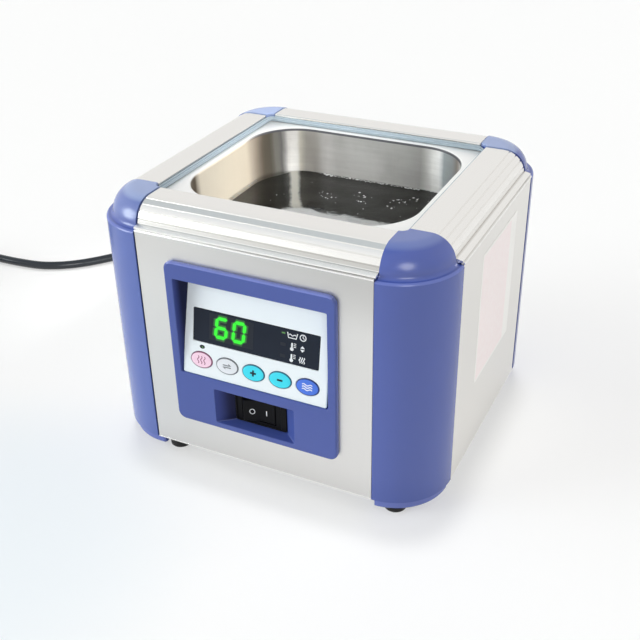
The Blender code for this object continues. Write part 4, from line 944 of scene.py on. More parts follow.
def hookSection(foot, base, proud, grooves):
    wall = casing["round"] - rail["setback"] + proud
    rise, radius = rail["rise"] + proud, rail["round"] + proud
    inside = radius - rail["wall"]
    centre = (wall - radius, rise - radius)
    shelf = rail["flangeRise"] - rail["tankWall"] - casing["gap"]
    leg = rail["flangeRise"] + casing["gap"]

    def climb(height, size):
        return math.degrees(math.asin((height - centre[1]) / size))

    points = list(foot)
    start = climb(base, radius)
    half = rail["grooveHalf"]
    for angle in grooves:
        points += facet(centre, radius, start, angle - half)
        for share, deep in ((-0.5, 0.75), (0.0, 1.0), (0.5, 0.75)):
            points += arc(centre, radius - deep * rail["grooveDeep"], angle + share * half, 0.0, 1)[:1]
        start = angle + half
    points += facet(centre, radius, start, 90.0) if grooves else arc(centre, radius, start, 90.0, 30)
    inner, edge = rail["inner"], rail["edge"]
    points += [(inner + edge - x, rise - edge + y) for x, y in arc((0.0, 0.0), edge, 90.0, 0.0, 4)]
    points += [(inner, leg), (inner + rail["wall"], leg), (inner + rail["wall"], rise - rail["wall"])]
    points += arc(centre, inside, 90.0, climb(shelf, inside), 6)
    points += [(rail["shelf"], shelf), (rail["shelf"], shelf - rail["wall"])]
    points += arc(centre, inside, climb(shelf - rail["wall"], inside), 0.0, 4)
    return points


def quarterTurns(steps):
    return [math.radians(90.0 * k / steps) for k in range(steps + 1)]


def makeRails():
    wall = casing["round"] - rail["setback"]
    out = casing["round"] - rail["lip"]
    gap = casing["gap"]
    low, lip = casing["lift"], casing["lift"] + rail["lipThick"]
    foot = [(wall - rail["wall"], gap), (out - 0.0002, low + 0.00005), (out, low + 0.00025)]
    foot += [(out, lip - 0.0003), (out - 0.0003, lip)]
    section = hookSection(foot, lip + rail["lip"], 0.0, rail["grooves"])
    for side in sideTurns:
        turn, half, reach, aside = sideFacts(side)
        loops = [[(x, along + aside, z) for x, z in section] for along in (-half, half)]
        centre = (reach * math.cos(turn), reach * math.sin(turn) + casing["shift"], casing["high"])
        look = "railY" if side in ("left", "right") else "railX"
        newPiece("rail_" + side, loft(loops), look, placed(centre, ("Z", turn)), sharp=24.0,
                 stands=("top_rail_" + side,), slot="aluminium")


def makeCaps():
    wall = casing["round"] - rail["setback"] + cap["proud"]
    spigot = post["face"] - post["wall"] - casing["gap"]
    foot = [(spigot - rail["wall"], -cap["spigot"]), (spigot, -cap["spigot"]), (spigot, casing["gap"])]
    flare = cap["flare"]
    foot += [(x, max(z, 0.00004)) for x, z in arc((wall + flare, flare), flare, 266.0, 190.0, 8)]
    section = [(radius - casing["seam"], z) for radius, z in hookSection(foot, flare, cap["proud"], ())]
    for name, degrees in cornerTurns.items():
        loops = []
        for turn in quarterTurns(cap["steps"]):
            loops.append([(r * math.cos(turn), r * math.sin(turn), z) for r, z in section])
        newPiece("cap_" + name, loft(loops), "capBlue", cornerPlace(degrees, casing["high"], casing["seam"]),
                 stands=("corner_cap_" + name,), slot="blue")


makeRails()
makeCaps()
print("rails and caps made")

tank = {
    "wide": 0.1364, "deep": 0.1216, "corner": 0.030, "floor": 0.0652, "top": 0.1552, "rim": 0.002,
    "fillet": 0.012, "flange": 0.0215, "sheet": 0.001,
}
seal = {
    "out": 0.0042, "wide": 0.0022, "low": 0.1555, "tall": 0.0024, "step": 0.0010,
    "bead": 0.0005, "edge": 0.0003,
    "sunk": 0.70,  # share of its height lost along the right rail, where it is pressed down
}
water = {
    "top": 0.1259, "play": 0.0003, "rings": 14,
    "drawn": ((0.0, 0.0006), (0.0006, 0.0002)), "flat": 0.0016,  # climbs a little along the wall
}


def tankOutline(inset):
    return roundedRect(tank["wide"] - 2 * inset, tank["deep"] - 2 * inset, tank["corner"] - inset, 16)


def makeTank():
    rim, fillet, top, bed = tank["rim"], tank["fillet"], tank["top"], tank["floor"]
    loops = [level(cornerRing(tank["flange"], 16), top)]
    for turn in quarterTurns(8):
        loops.append(level(tankOutline(-rim * (1 - math.sin(turn))), top - rim * (1 - math.cos(turn))))
    high, low = top - rim, bed + fillet
    for k in range(1, 7):
        loops.append(level(tankOutline(0.0), high + (low - high) * (k / 7)))
    for turn in quarterTurns(10):
        loops.append(level(tankOutline(fillet * (1 - math.cos(turn))), bed + fillet * (1 - math.sin(turn))))
    piece = newPiece("tankShell", loft(loops, start=False), "tank", stands=("tank",), slot="steel")
    wall = piece.modifiers.new("sheet", "SOLIDIFY")
    wall.thickness = tank["sheet"]
    wall.offset = -1.0
    wall.use_even_offset = True


def makeSeal():
    # a tall ridge against the rail, a groove and a round bead on the tank's side
    outer, inner = seal["out"], seal["out"] - seal["wide"]
    low, top, step = seal["low"], seal["low"] + seal["tall"], seal["low"] + seal["step"]
    middle, bead, edge = outer - seal["wide"] / 2, seal["bead"], seal["edge"]
    profile = [(inner, low), (outer, low), (outer, top - edge), (outer - edge, top), (outer - 0.0007, top)]
    profile += [(middle + 0.0002, top - edge), (middle, step), (inner + 2 * bead, step)]
    profile += arc((inner + bead, step + 0.0002), bead, 20.0, 180.0, 6)
    loops = []
    for reach, z in [*profile, profile[0]]:
        drop = seal["sunk"] * (z - low) / reach
        ring = cornerRing(reach, 10)
        loops.append([(x, y, z - drop * max(x - casing["cornerX"], 0.0)) for x, y in ring])
    bm = loft(loops, start=False, end=False)
    bmesh.ops.remove_doubles(bm, verts=bm.verts, dist=1e-7)
    newPiece("tankSeal", bm, "seal", stands=("tank_seal",), slot="seal")


def swell(x, y):
    across = 0.00012 * math.sin(140 * x + 3 * math.sin(90 * y))
    return across + 0.00010 * math.sin(170 * y + 2 * math.sin(110 * x))


def makeWater():
    # the surface alone
    play, top = water["play"], water["top"]
    loops = [level(tankOutline(play + inset), top + up) for inset, up in water["drawn"]]
    for k in range(water["rings"]):
        shrink = 1 - (k + 1) / (water["rings"] + 1)
        ring = [(x * shrink, y * shrink) for x, y in tankOutline(play + water["flat"])]
        loops.append([(x, y, top + swell(x, y)) for x, y in ring])
    piece = newPiece("bathWater", loft(loops, start=False), "water", sharp=60.0)
    if piece.data.polygons[-1].normal.z < 0.0:
        piece.data.flip_normals()


bubbles = {
    "seed": 7, "size": (0.00012, 0.00040), "stretch": (1.0, 2.4), "lift": 0.00015,
    "rafts": 9, "raft": (4, 11), "foam": 120, "loose": 26, "shore": 46,
    "rearWall": 0.0601, "leftWall": -0.0675, "most": (0.0676, 0.0602), "cling": 0.0006,
}


def makeBubbles():
    chance = random.Random(bubbles["seed"])
    cling = bubbles["cling"]
    places = []
    for _ in range(bubbles["rafts"]):  # small rafts that drift towards the rear right
        x, y = chance.gauss(0.014, 0.020), chance.gauss(0.030, 0.011)
        for _ in range(chance.randint(*bubbles["raft"])):
            places.append((x + chance.gauss(0.0, 0.0030), y + chance.gauss(0.0, 0.0016), 1.0))
    for _ in range(bubbles["foam"]):  # foam along the rear wall
        x = chance.uniform(-0.036, 0.050)
        y = bubbles["rearWall"] - abs(chance.gauss(0.0, cling))
        places.append((x, y, 0.75 + 0.5 * math.sin(160 * x) ** 2))
    for _ in range(bubbles["loose"]):
        places.append((chance.uniform(-0.045, 0.045), chance.uniform(-0.030, 0.045), 0.7))
    for _ in range(bubbles["shore"]):  # and a little along the left wall
        y = chance.uniform(-0.012, 0.034)
        x = abs(chance.gauss(0.0, cling)) + bubbles["leftWall"]
        places.append((x, y, 0.6 + 0.5 * math.sin(200 * y) ** 2))
    bm = bmesh.new()
    for x, y, scale in places:
        if abs(x) > bubbles["most"][0] or abs(y) > bubbles["most"][1]:
            continue
        radius = scale * chance.uniform(*bubbles["size"])
        long = chance.uniform(*bubbles["stretch"])
        made = bmesh.ops.create_icosphere(bm, subdivisions=2, radius=radius)
        place = placed((x, y, water["top"] + bubbles["lift"] + 0.3 * radius), ("Z", chance.gauss(0.4, 0.5)))
        bmesh.ops.transform(bm, matrix=place @ Matrix.Diagonal((long, 1.0, 0.7, 1.0)), verts=made["verts"])
    newPiece("bathBubbles", bm, "bubble", sharp=80.0)


makeTank()
makeSeal()
makeWater()
makeBubbles()
print("tank, seal and water made")

feet = {
    "radius": 0.0064, "tall": 0.0027, "left": 0.061, "right": 0.080, "y": 0.0855, "edge": 0.0007,
    "sleeve": 0.0062, "sleeveTop": 0.0088,  # a rubber sleeve covers the boss of each left foot
}


def makeFeet():
    radius, tall, edge = feet["radius"], feet["tall"], feet["edge"]
    profile = [(radius - 0.0004, tall), (radius, tall - 0.0004)]
    profile += [(radius - edge + x, edge - z) for x, z in arc((0.0, 0.0), edge, 0.0, 90.0, 5)]
    profile += [(0.4 * radius, 0.0), (0.35 * radius, 0.0005), (0.0, 0.0005)]
    for end, y in (("front", -feet["y"]), ("rear", feet["y"])):
        for side, x in (("left", -feet["left"]), ("right", feet["right"])):
            place = Matrix.Translation((x, y + casing["shift"], 0.0))
            head = [(0.0, tall)]
            if side == "left":
                top, sleeve = feet["sleeveTop"], feet["sleeve"]
                head = [(0.0, top), (sleeve - 0.0003, top), (sleeve, top - 0.0003), (sleeve, tall)]
            newPiece("pad_%s_%s" % (end, side), turned(head + profile), "rubber", place,
                     stands=("foot_%s_%s" % (end, side),), slot="rubber")


makeFeet()
print("feet made")

# control bezel with its slanted key pocket and switch recess
faceY = -halfY - bezel["proud"] + casing["shift"]
tilt = math.radians(10.0)
keypad = {
    "z": 0.0645, "sink": 0.0008, "wide": 0.0884, "tall": 0.058996, "thick": 0.0012, "corner": 0.0007,
    "mouthWide": 0.0914, "mouthCorner": 0.0009, "lean": 0.0030,  # the left wall leans in towards its head
}
switch = {
    "z": 0.0462, "sink": 0.006, "floor": 0.0081, "mouthWide": 0.0496, "mouthTall": 0.0224,
    "wide": 0.030, "tall": 0.0196, "pivot": 0.003, "radius": 0.0104, "rockerTall": 0.0138,
    "lean": math.radians(10.0), "drop": -20.0,
    "seatWide": 0.0326, "aside": 0.0013,  # the seat reaches further to the right
    "bead": 0.0011, "markX": 0.0043, "markZ": -0.0005,
}
keypadPlace = Matrix((
    (1.0, 0.0, 0.0, 0.0),
    (0.0, math.sin(tilt), -math.cos(tilt), faceY + keypad["sink"]),
    (0.0, math.cos(tilt), math.sin(tilt), keypad["z"]),
    (0.0, 0.0, 0.0, 1.0),
))


def onFace(outline, depth):
    return [(x, faceY + depth, z) for x, z in outline]


def onKeypad(outline, offset):
    return [keypadPlace @ Vector((x, v, -offset)) for x, v in outline]


def keypadRim(grow=0.0):
    size = (keypad["wide"] + 2 * grow, keypad["tall"] + 2 * grow, keypad["corner"] + grow)
    return roundedRect(*size, 6, (0.0, keypad["tall"] / 2))


def makeBezel():
    bm = bmesh.new()
    middle = (0.0, bezel["low"] + bezel["tall"] / 2)
    edge, lip = bezel["edge"], bezel["mouthEdge"]

    def ringAt(points):
        return [bm.verts.new(point) for point in points]

    rings = []
    turns = [(edge - x, edge - y) for x, y in arc((0.0, 0.0), edge, 0.0, 90.0, 6)]
    for inset, depth in [(0.0, bezel["proud"] - 0.0002), *turns]:
        size = (bezel["wide"] - 2 * inset, bezel["tall"] - 2 * inset, bezel["corner"] - inset)
        rings.append(ringAt(onFace(roundedRect(*size, 10, middle), depth)))
    bridge(bm, rings)
    borders = [rings[-1]]

    gap = casing["gap"]
    low, high = keypad["z"] - gap, keypad["z"] + keypad["tall"] * math.cos(tilt) + gap
    keySeat = []
    for x, v in keypadRim(gap):
        lean = keypad["lean"] * max(v, 0.0) / keypad["tall"] if x < 0.0 else 0.0
        keySeat.append((x + lean, v))
    switchSeat = roundedRect(
        switch["seatWide"] + 2 * gap, switch["tall"] + 2 * gap, 0.001, 6, (switch["aside"], switch["z"]))
    pockets = (
        (keypad["mouthWide"], high - low, (low + high) / 2, [onKeypad(keySeat, keypad["thick"] + gap)]),
        (switch["mouthWide"], switch["mouthTall"], switch["z"],
         [onFace(switchSeat, switch["sink"]), onFace(switchSeat, switch["floor"])]),
    )
    for wide, tall, z, seats in pockets:
        rings = []
        for x, y in arc((0.0, 0.0), lip, 90.0, 0.0, 5):
            grow, depth = lip - x, lip - y
            outline = roundedRect(wide + 2 * grow, tall + 2 * grow, keypad["mouthCorner"] + grow, 6, (0.0, z))
            rings.append(ringAt(onFace(outline, depth)))
        rings += [ringAt(seat) for seat in seats]
        bridge(bm, rings)
        bm.faces.new(rings[-1])
        borders.append(rings[0])
    edges = []
    for border in borders:
        for k, vert in enumerate(border):
            edges.append(bm.edges.get((vert, border[(k + 1) % len(border)])))
    bmesh.ops.triangle_fill(bm, use_beauty=True, edges=edges)
    bmesh.ops.recalc_face_normals(bm, faces=bm.faces)
    crest = bezel["low"] + bezel["tall"] - edge
    leftMost = -keypad["wide"] / 2 - 0.002
    for face in bm.faces:
        at = face.calc_center_median()
        if at.y > faceY + lip and abs(face.normal.x) > 0.4 and leftMost < at.x < 0.0:
            face.material_index = 1  # painted shade: the left walls of the pockets get the darker finish
        elif at.z > crest and abs(face.normal.y) < 0.97:
            face.material_index = 2  # painted highlight: the rounded head gets a paler finish
    finishes = ("bezelBlue", "blueShade", "bezelEdge")
    newPiece("controlBezel", bm, finishes, Matrix.Identity(4), stands=("control_bezel",), slot="blue")


makeBezel()

sheet = {"windowWide": 0.0768, "windowTall": 0.0192, "windowV": 0.030, "edge": 0.0002, "rimDrop": 0.0001}


def makeSheet():
    thick, gap = keypad["thick"], casing["gap"]
    rim, seat = keypadRim(), keypadRim(gap)
    window = (sheet["windowWide"] + 2 * gap, sheet["windowTall"] + 2 * gap)
    holes = [roundedRect(*window, 2 * gap, 2, (0.0, sheet["windowV"]))]
    for name in keyLooks:
        holes.append(ellipse(keys["wide"] + 2 * gap, keys["tall"] + 2 * gap, 48, keyCentre(name)))
    place = keypadPlace @ Matrix.Translation((0.0, 0.0, -thick / 2))
    flatPlate("keySheet", [rim, *holes], thick, sheet["edge"], "film", place,
              stands=("key_panel",), slot="white")
    # painted highlight: a pale strip round the key sheet where its lit edge shows
    drop = sheet["rimDrop"]
    lower = place @ Matrix.Translation((0.0, 0.0, -drop))
    flatPlate("sheetRim", [seat, rim], thick - drop, drop, "filmEdge", lower, slot="white")


keys = {
    "pitch": 0.0164, "v": 0.0094, "wide": 0.0136, "tall": 0.0094, "under": -0.00085,
    "crown": ((0.0, 0.0001), (0.0001, 0.00026), (0.00045, 0.00038), (0.0012, 0.00047), (0.0026, 0.0005)),
    "line": 2, "steps": 64,  # rings of the crown that carry the printed outline, and steps round it
}
keyLooks = {
    "heater": ("pink", "pinkLine", "pink"), "display": ("white", "greyLine", "white"),
    "plus": ("cyan", "tealLine", "cyan"), "minus": ("cyan", "tealLine", "cyan"),
    "wash": ("keyBlue", "navyLine", "key_blue"),
}


def keyCentre(name):
    return ((list(keyLooks).index(name) - 2) * keys["pitch"], keys["v"])


def keyPlace(name):
    return keypadPlace @ Matrix.Translation((*keyCentre(name), 0.0))


def makeKeys():
    for name, (top, line, slot) in keyLooks.items():
        loops = []
        for inset, up in ((0.0, keys["under"]), *keys["crown"]):
            wide, tall = keys["wide"] - 2 * inset, keys["tall"] - 2 * inset
            loops.append(level(ellipse(wide, tall, keys["steps"]), up))
        bm = loft(loops)
        bm.faces.ensure_lookup_table()
        for k in range(keys["steps"] * (keys["line"] + 1)):
            bm.faces[k].material_index = 1
        newPiece("key_" + name, bm, (top, line), keyPlace(name), sharp=70.0,
                 body=name + "_button", stands=(name + "_key",), slot=slot)


makeSheet()
makeKeys()
print("bezel and keys made")


# printed marks: flat strokes a hair above what carries them

def band(bm, outer, inner, low, high):
    rings = []
    for ring, z in ((outer, low), (outer, high), (inner, high), (inner, low)):
        rings.append([bm.verts.new(point) for point in level(ring, z)])
    bridge(bm, [*rings, rings[0]])


def stroke(points, width):
    # a line of even width as one outline
    left, right = [], []
    for k, (x, y) in enumerate(points):
        x0, y0 = points[max(k - 1, 0)]
        x1, y1 = points[min(k + 1, len(points) - 1)]
        size = math.hypot(x1 - x0, y1 - y0)
        nx, ny = -(y1 - y0) / size * width / 2, (x1 - x0) / size * width / 2
        left.append((x + nx, y + ny))
        right.append((x - nx, y - ny))
    return left + right[::-1]


def moved(outline, x=0.0, y=0.0):
    # millimetres to metres, then to its place
    return [(x + 0.001 * across, y + 0.001 * up) for across, up in outline]


def markPiece(name, shapes, look, place, body="housing", low=-0.00002, high=0.00005):
    bm = bmesh.new()
    for shape in shapes:
        if isinstance(shape, tuple):
            band(bm, shape[0], shape[1], low, high)
        else:
            prism(bm, shape, low, high)
    return newPiece(name, bm, look, place, body=body)


# millimetres on the key panel, from its lower edge
display = {
    "tall": 12.9, "wide": 8.3, "stroke": 1.95, "gap": 0.10, "lean": 0.09,
    "v": 24.4, "six": -25.4, "nought": -14.5,
    "field": (27.5, 15.6, 0.4), "fieldAt": (-14.6, 30.6),
    "lamps": (37.1, 30.6, 24.0), "lampX": 17.1, "signX": (22.4, 28.6), "signs": (36.6, 30.2, 23.8),
    # how far each layer of the figures grows, and how high it stands in metres
    "layers": {"haloFar": (1.15, 0.00007), "haloNear": (0.5, 0.00009), "digit": (0.0, 0.00012)},
    "carried": 0.00002,  # foot of what stands on another mark
}


def digitShapes(left, lit, grow):
    half, gap = display["stroke"] / 2, display["gap"]
    right, top, mid = display["wide"] - half, display["tall"] - half, display["tall"] / 2
    near, far = half + gap, right - gap

    def bar(x0, y0, x1, y1):
        # a pointed bar from end to end
        reach, tip = half + grow, 0.4 * grow
        if y0 == y1:
            x0, x1 = x0 - tip, x1 + tip
            above = [(x0, y0), (x0 + half, y0 + reach), (x1 - half, y0 + reach)]
            return above + [(x1, y0), (x1 - half, y0 - reach), (x0 + half, y0 - reach)]
        y0, y1 = y0 - tip, y1 + tip
        before = [(x0, y0), (x0 - reach, y0 + half), (x0 - reach, y1 - half)]
        return before + [(x0, y1), (x0 + reach, y1 - half), (x0 + reach, y0 + half)]

    bars = {
        "a": bar(near, top, far, top), "g": bar(near, mid, far, mid), "d": bar(near, half, far, half),
        "f": bar(half, mid + gap, half, top - gap), "b": bar(right, mid + gap, right, top - gap),
        "e": bar(half, near, half, mid - gap), "c": bar(right, near, right, mid - gap),
    }
    shapes = []
    for key in lit:
        leaned = [(left + x + display["lean"] * y, display["v"] + y) for x, y in bars[key]]
        shapes.append(moved(leaned))
    return shapes


def wave(width, rise, steps=16):
    shares = [k / steps for k in range(steps + 1)]
    return [(width * (share - 0.5), rise * math.sin(3 * math.pi * share)) for share in shares]


def makeDisplay():
    foot = display["carried"]
    back = [moved(roundedRect(*display["field"], 3, display["fieldAt"]))]
    markPiece("digitField", back, "ink", keypadPlace)
    figures = ((display["six"], "afgedc"), (display["nought"], "abcdef"))
    for look, (grow, high) in display["layers"].items():
        shapes = [shape for left, lit in figures for shape in digitShapes(left, lit, grow)]
        markPiece(look + "Bars", shapes, look, keypadPlace, low=foot, high=high)
    x = display["lampX"]
    seats = [moved(roundedRect(3.2, 1.9, 0.4, 4, (x, v))) for v in display["lamps"]]
    markPiece("lampSeats", seats, "ink", keypadPlace)
    glow = [moved(roundedRect(2.0, 0.8, 0.35, 4, (x, display["lamps"][0])))]
    markPiece("litLamp", glow, "glint", keypadPlace, low=foot, high=0.00010)
    # plain signs beside the lamps: bath and clock, thermometer and arrows, thermometer and warmth
    (first, second), (v1, v2, v3) = display["signX"], display["signs"]

    def put(shape, x, v):
        return moved(shape, 0.001 * x, 0.001 * v)

    shapes = [(put(ellipse(3.9, 3.9, 32), second, v1), put(ellipse(2.9, 2.9, 32), second, v1))]
    shapes.append(put(stroke([(0.0, 1.2), (0.0, 0.0), (0.9, -0.5)], 0.42), second, v1))
    shapes.append(put(stroke([(-2.9, 1.5), (-2.3, -1.5), (2.3, -1.5), (2.9, 1.5)], 0.55), first, v1))
    shapes.append(put(stroke(wave(4.2, 0.35), 0.5), first, v1 + 0.2))
    for v in (v2, v3):
        shapes.append(put(ellipse(2.1, 2.1, 24), first, v - 1.25))
        shapes.append(put(roundedRect(1.0, 3.6, 0.45, 4), first, v + 0.5))
        for k in range(3):
            shapes.append(put(roundedRect(1.5, 0.36, 0.1, 2), first + 1.7, v + 0.1 + 0.95 * k))
    for way in (1, -1):
        shapes.append(put([(-1.3, 0.35 * way), (1.3, 0.35 * way), (0.0, 1.8 * way)][::way], second, v2))
    for k in (-1, 0, 1):
        shapes.append(put(stroke([(y + 1.25 * k, x) for x, y in wave(3.4, 0.35)], 0.48), second, v3))
    markPiece("lampSigns", shapes, "paleInk", keypadPlace)
    markPiece("heatLamp", [moved(ellipse(3.3, 2.3, 32), -0.0326, 0.0173)], "ink", keypadPlace)
    glow = [moved(ellipse(1.1, 0.7, 20), -0.0324, 0.01715)]
    markPiece("heatGlint", glow, "glint", keypadPlace, low=foot, high=0.00008)


def makeKeyMarks():
    high = keys["crown"][-1][1]
    lifts = {"low": high - 0.0002, "high": high + 0.00004}
    arrow = [(-2.6, 0.9), (0.9, 0.9), (0.9, 1.9), (2.8, 0.55), (0.9, 0.2), (0.9, 0.2), (-2.6, 0.2)]
    thin, long = 0.55, 1.8
    plus = [
        (-thin, -long), (thin, -long), (thin, -thin), (long, -thin), (long, thin), (thin, thin),
        (thin, long), (-thin, long), (-thin, thin), (-long, thin), (-long, -thin), (-thin, -thin),
    ]
    warm, ripple, rows = wave(4.6, 0.45), wave(6.0, 0.42, 24), (-1, 0, 1)
    marks = {
        "heater": ([stroke([(y + 2.0 * k, x) for x, y in warm], thin) for k in rows], "pinkLine"),
        "display": ([[(way * x, way * y) for x, y in arrow] for way in (1, -1)], "greyLine"),
        "plus": ([plus], "ink"),
        "minus": ([roundedRect(3.4, 1.1, 0.15, 2)], "ink"),
        "wash": ([stroke([(x, y + 1.35 * k) for x, y in ripple], thin) for k in rows], "paleInk"),
    }
    for name, (shapes, look) in marks.items():
        shapes = [moved(shape) for shape in shapes]
        markPiece("mark_" + name, shapes, look, keyPlace(name), name + "_button", **lifts)


makeDisplay()
makeKeyMarks()
print("display and marks made")


def makeSwitch():
    rise = math.degrees(math.asin(switch["pivot"] / switch["radius"]) + switch["lean"])
    left = arc((0.0, 0.0), switch["radius"], 180.0 - rise, 180.0 - switch["drop"], 14)
    right = arc((0.0, 0.0), switch["radius"], switch["drop"], rise, 14)
    outline = [(x, -out) for x, out in [(0.0, switch["pivot"]), *left, *right]]
    half = switch["rockerTall"] / 2
    place = placed((0.0, faceY + switch["sink"] + switch["pivot"], switch["z"]), ("Z", switch["lean"]))
    rocker = newPiece("rocker", prism(bmesh.new(), outline, -half, half), "black", place, sharp=30.0,
                      body="rocker", stands=("switch_rocker",), slot="black")
    soft = rocker.modifiers.new("softEdge", "BEVEL")
    soft.width = 0.00045
    soft.segments = 3
    soft.limit_method = "ANGLE"
    soft.angle_limit = math.radians(28.0)
    rocker.modifiers.move(1, 0)

    # the circle and the bar stand on the rocker's two sloping halves
    slope = math.atan2(left[0][1] - switch["pivot"], -left[0][0])
    for name, side in (("circleMark", -1), ("barMark", 1)):
        face = place @ placed((0.0, -switch["pivot"], 0.0), ("Z", side * -slope))
        face = face @ placed((side * switch["markX"], 0.0, switch["markZ"]), ("X", quarter))
        if side < 0:
            shapes = [(ellipse(0.0032, 0.0036, 32), ellipse(0.0025, 0.0029, 32))]
        else:
            shapes = [roundedRect(0.0005, 0.0034, 0.0001, 2)]
        markPiece(name, shapes, "paleInk", face, "rocker")

    bead = switch["bead"]
    rim = roundedRect(switch["seatWide"], switch["tall"], 0.0014, 6, (switch["aside"], 0.0))
    hole = roundedRect(switch["wide"] - 2 * bead, switch["tall"] - 2 * bead, 0.0003, 6)
    front = placed((0.0, faceY + switch["sink"] - 0.0001, switch["z"]), ("X", quarter))
    flatPlate("switchBead", [rim, hole], 0.0009, 0.0004, "black", front, slot="black")


makeSwitch()

# a bare plate with a wider margin at the rear
sign = {
    "y": (-0.0280, 0.0360), "z": (0.054, 0.135), "corner": 0.0012, "thick": 0.00016, "soft": 0.00005,
    "border": 0.0015, "margin": 0.011, "fieldCorner": 0.0008, "fieldThick": 0.00008, "fieldSoft": 0.00002,
}


def makeSidePlate():
    (y0, y1), (z0, z1) = sign["y"], sign["z"]
    wide, tall, border, margin = y1 - y0, z1 - z0, sign["border"], sign["margin"]
    at = (halfX + 0.4 * sign["thick"], (y0 + y1) / 2, (z0 + z1) / 2)
    place = placed(at, ("Z", quarter), ("X", quarter))
    rim = roundedRect(wide, tall, sign["corner"], 6)
    flatPlate("sidePlate", [rim], sign["thick"], sign["soft"], "labelEdge", place, slot="white")
    size = (wide - border - margin, tall - 2 * border, sign["fieldCorner"])
    field = roundedRect(*size, 6, ((border - margin) / 2, 0.0))
    raised = place @ Matrix.Translation((0.0, 0.0, 0.5 * sign["thick"]))
    flatPlate("sideField", [field], sign["fieldThick"], sign["fieldSoft"], "label", raised, slot="white")


makeSidePlate()
print("switch and side plate made")

# CAD nodes that stay get their own finish
kept = {
    "base_plate": "zinc", "heater_pad": "silicone", "temperature_sensor": "copper",
    "generator_board": "board", "heatsink": "cast", "transformer": "zinc", "display_window": "smoke",
    "control_board": "board", "digit_module": "black", "switch_body": "black",
}
twins = {
    "sound_head_horn": "cast", "sound_head_piezo": "ceramic", "sound_head_tail": "steel",
    "plug_blade": "brass",
}
for name, look in twins.items():
    kept.update({name + "_left": look, name + "_right": look})
for name, look in kept.items():
    nodes[name].data.materials.clear()
    nodes[name].data.materials.append(looks[look])
print("%d CAD nodes finished" % len(kept))

# floor, lamps and sky
floor = {
    "reach": 6.0, "light": (0.932, 0.930, 0.924), "dark": (0.922, 0.922, 0.918), "white": 0.46,
    "pale": (1.0, 0.998, 0.990), "paleDark": (0.975, 0.976, 0.970),
    # painted shade: a cooler, darker patch of floor, front left
    "coolAt": (-0.130, -0.220), "coolReach": 0.165, "cool": (0.85, 0.895, 0.92),
}


def raySeen(wire):
    # 1 for what the camera, gloss and glass see, 0 for light on its way
    ray = wire.node("ShaderNodeLightPath").socket.node.outputs
    seen = Wire(wire.tree, ray["Is Camera Ray"]) + Wire(wire.tree, ray["Is Glossy Ray"])
    return wire.sum("ADD", seen, Wire(wire.tree, ray["Is Transmission Ray"]), clamp=True)


def makeFloor():
    finish, wire, inputs = newFinish("floorFinish", Roughness=0.7, Specular_IOR_Level=0.2)
    cloud = noise(wire, 2.0, 2.0)
    x, y = axes(wire)[:2]
    away, side = x - floor["coolAt"][0], y - floor["coolAt"][1]
    cool = (away * away + side * side).within(floor["coolReach"] ** 2, 0.0)
    tone = tint(wire, cloud, floor["dark"], floor["light"])
    tint(wire, cool, tone, floor["cool"]).to(inputs["Base Color"])
    pale = tint(wire, cloud, floor["paleDark"], floor["pale"])
    glow = wire.node("ShaderNodeEmission", None, {"Color": tint(wire, cool, pale, floor["cool"])})
    plain = Wire(wire.tree, finish.node_tree.nodes["Principled BSDF"].outputs[0])
    mixed = wire.node("ShaderNodeMixShader", None, {0: floor["white"] * raySeen(wire), 1: plain, 2: glow})
    mixed.to(finish.node_tree.nodes["Material Output"].inputs["Surface"])
    bm = bmesh.new()
    bmesh.ops.create_circle(bm, cap_ends=True, segments=96, radius=floor["reach"])
    mesh = bpy.data.meshes.new("floor")
    bm.to_mesh(mesh)
    bm.free()
    obj = bpy.data.objects.new("floor", mesh)
    mesh.materials.append(finish)
    scene.collection.objects.link(obj)


lamps = {
    "left": {"from": (-0.85, -0.28, 0.50), "strength": 0.82, "angle": 50.0},
    "right": {"from": (0.80, 0.42, 0.42), "strength": 0.70, "angle": 40.0},
    "over": {"from": (-0.08, 0.14, 0.98), "strength": 1.10, "angle": 7.0},
    # two soft boxes that gloss shows
    "leftBox": {
        "from": (-0.80, -0.56, 0.22), "strength": 1.72, "angle": 33.0, "gloss": True,
        "tone": (0.92, 1.0, 1.0),
    },
    "rightBox": {"from": (0.507, -0.764, 0.40), "strength": 0.68, "angle": 27.0, "gloss": True},
}
# a spot that reaches down into the tank
tankLamp = {
    "at": (0.15, -0.03, 0.42), "aim": (-0.035, 0.025, 0.140), "power": 8.0, "size": 0.05,
    "cone": 25.0, "blend": 0.8,
}


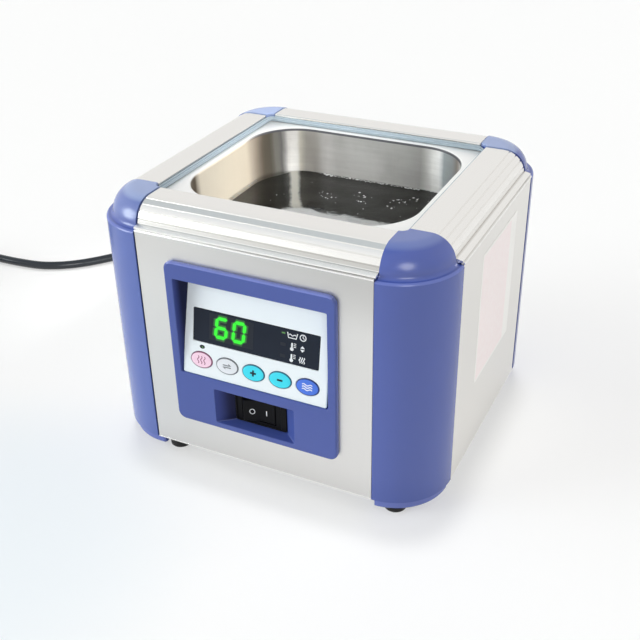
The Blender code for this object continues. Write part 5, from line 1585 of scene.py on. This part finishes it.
def makeLamps():
    for name, how in lamps.items():
        data = bpy.data.lights.new(name + "Lamp", "SUN")
        data.energy = how["strength"]
        data.angle = math.radians(how["angle"])
        data.color = how.get("tone", (1.0, 1.0, 1.0))
        lamp = bpy.data.objects.new(name + "Lamp", data)
        lamp.rotation_euler = Vector(how["from"]).to_track_quat("Z", "Y").to_euler()
        lamp.visible_glossy = how.get("gloss", False)
        scene.collection.objects.link(lamp)
    data = bpy.data.lights.new("tankLamp", "SPOT")
    data.energy = tankLamp["power"]
    data.shadow_soft_size = tankLamp["size"]
    data.spot_size = math.radians(tankLamp["cone"])
    data.spot_blend = tankLamp["blend"]
    lamp = bpy.data.objects.new("tankLamp", data)
    lamp.location = tankLamp["at"]
    lamp.rotation_euler = (lamp.location - Vector(tankLamp["aim"])).to_track_quat("Z", "Y").to_euler()
    lamp.visible_glossy = False
    scene.collection.objects.link(lamp)


sky = {
    "level": 0.34, "front": (0.89, 0.887, 0.88), "rear": (0.90, 0.895, 0.885), "open": (1.0, 1.0, 1.0),
    # a grey card hangs over the bath
    "card": (-0.38, 0.10, 0.92), "cardEdge": (0.85, 0.955), "cardTone": (0.58, 0.63, 0.66),
}


def makeSky():
    world = bpy.data.worlds.new("studio")
    scene.world = world
    world.use_nodes = True
    wire = Wire(world.node_tree)
    way = wire.node("ShaderNodeTexCoord", out="Generated")
    back = Wire(wire.tree, wire.node("ShaderNodeSeparateXYZ", None, {0: way}).socket.node.outputs[1])
    product = {"operation": "DOT_PRODUCT"}
    near = wire.node("ShaderNodeVectorMath", product, {0: way, 1: sky["card"]}, out="Value")
    shade = tint(wire, back.within(-0.5, 0.6), sky["front"], sky["rear"])
    shade = tint(wire, near.within(*sky["cardEdge"]), shade, sky["cardTone"])
    camera = Wire(wire.tree, wire.node("ShaderNodeLightPath").socket.node.outputs["Is Camera Ray"])
    shade = tint(wire, camera, shade, sky["open"])
    background = world.node_tree.nodes["Background"]
    shade.to(background.inputs["Color"])
    (sky["level"] + (1 - sky["level"]) * raySeen(wire)).to(background.inputs["Strength"])


makeFloor()
makeLamps()
makeSky()
print("floor, lamps and sky made")

bpy.context.view_layer.update()
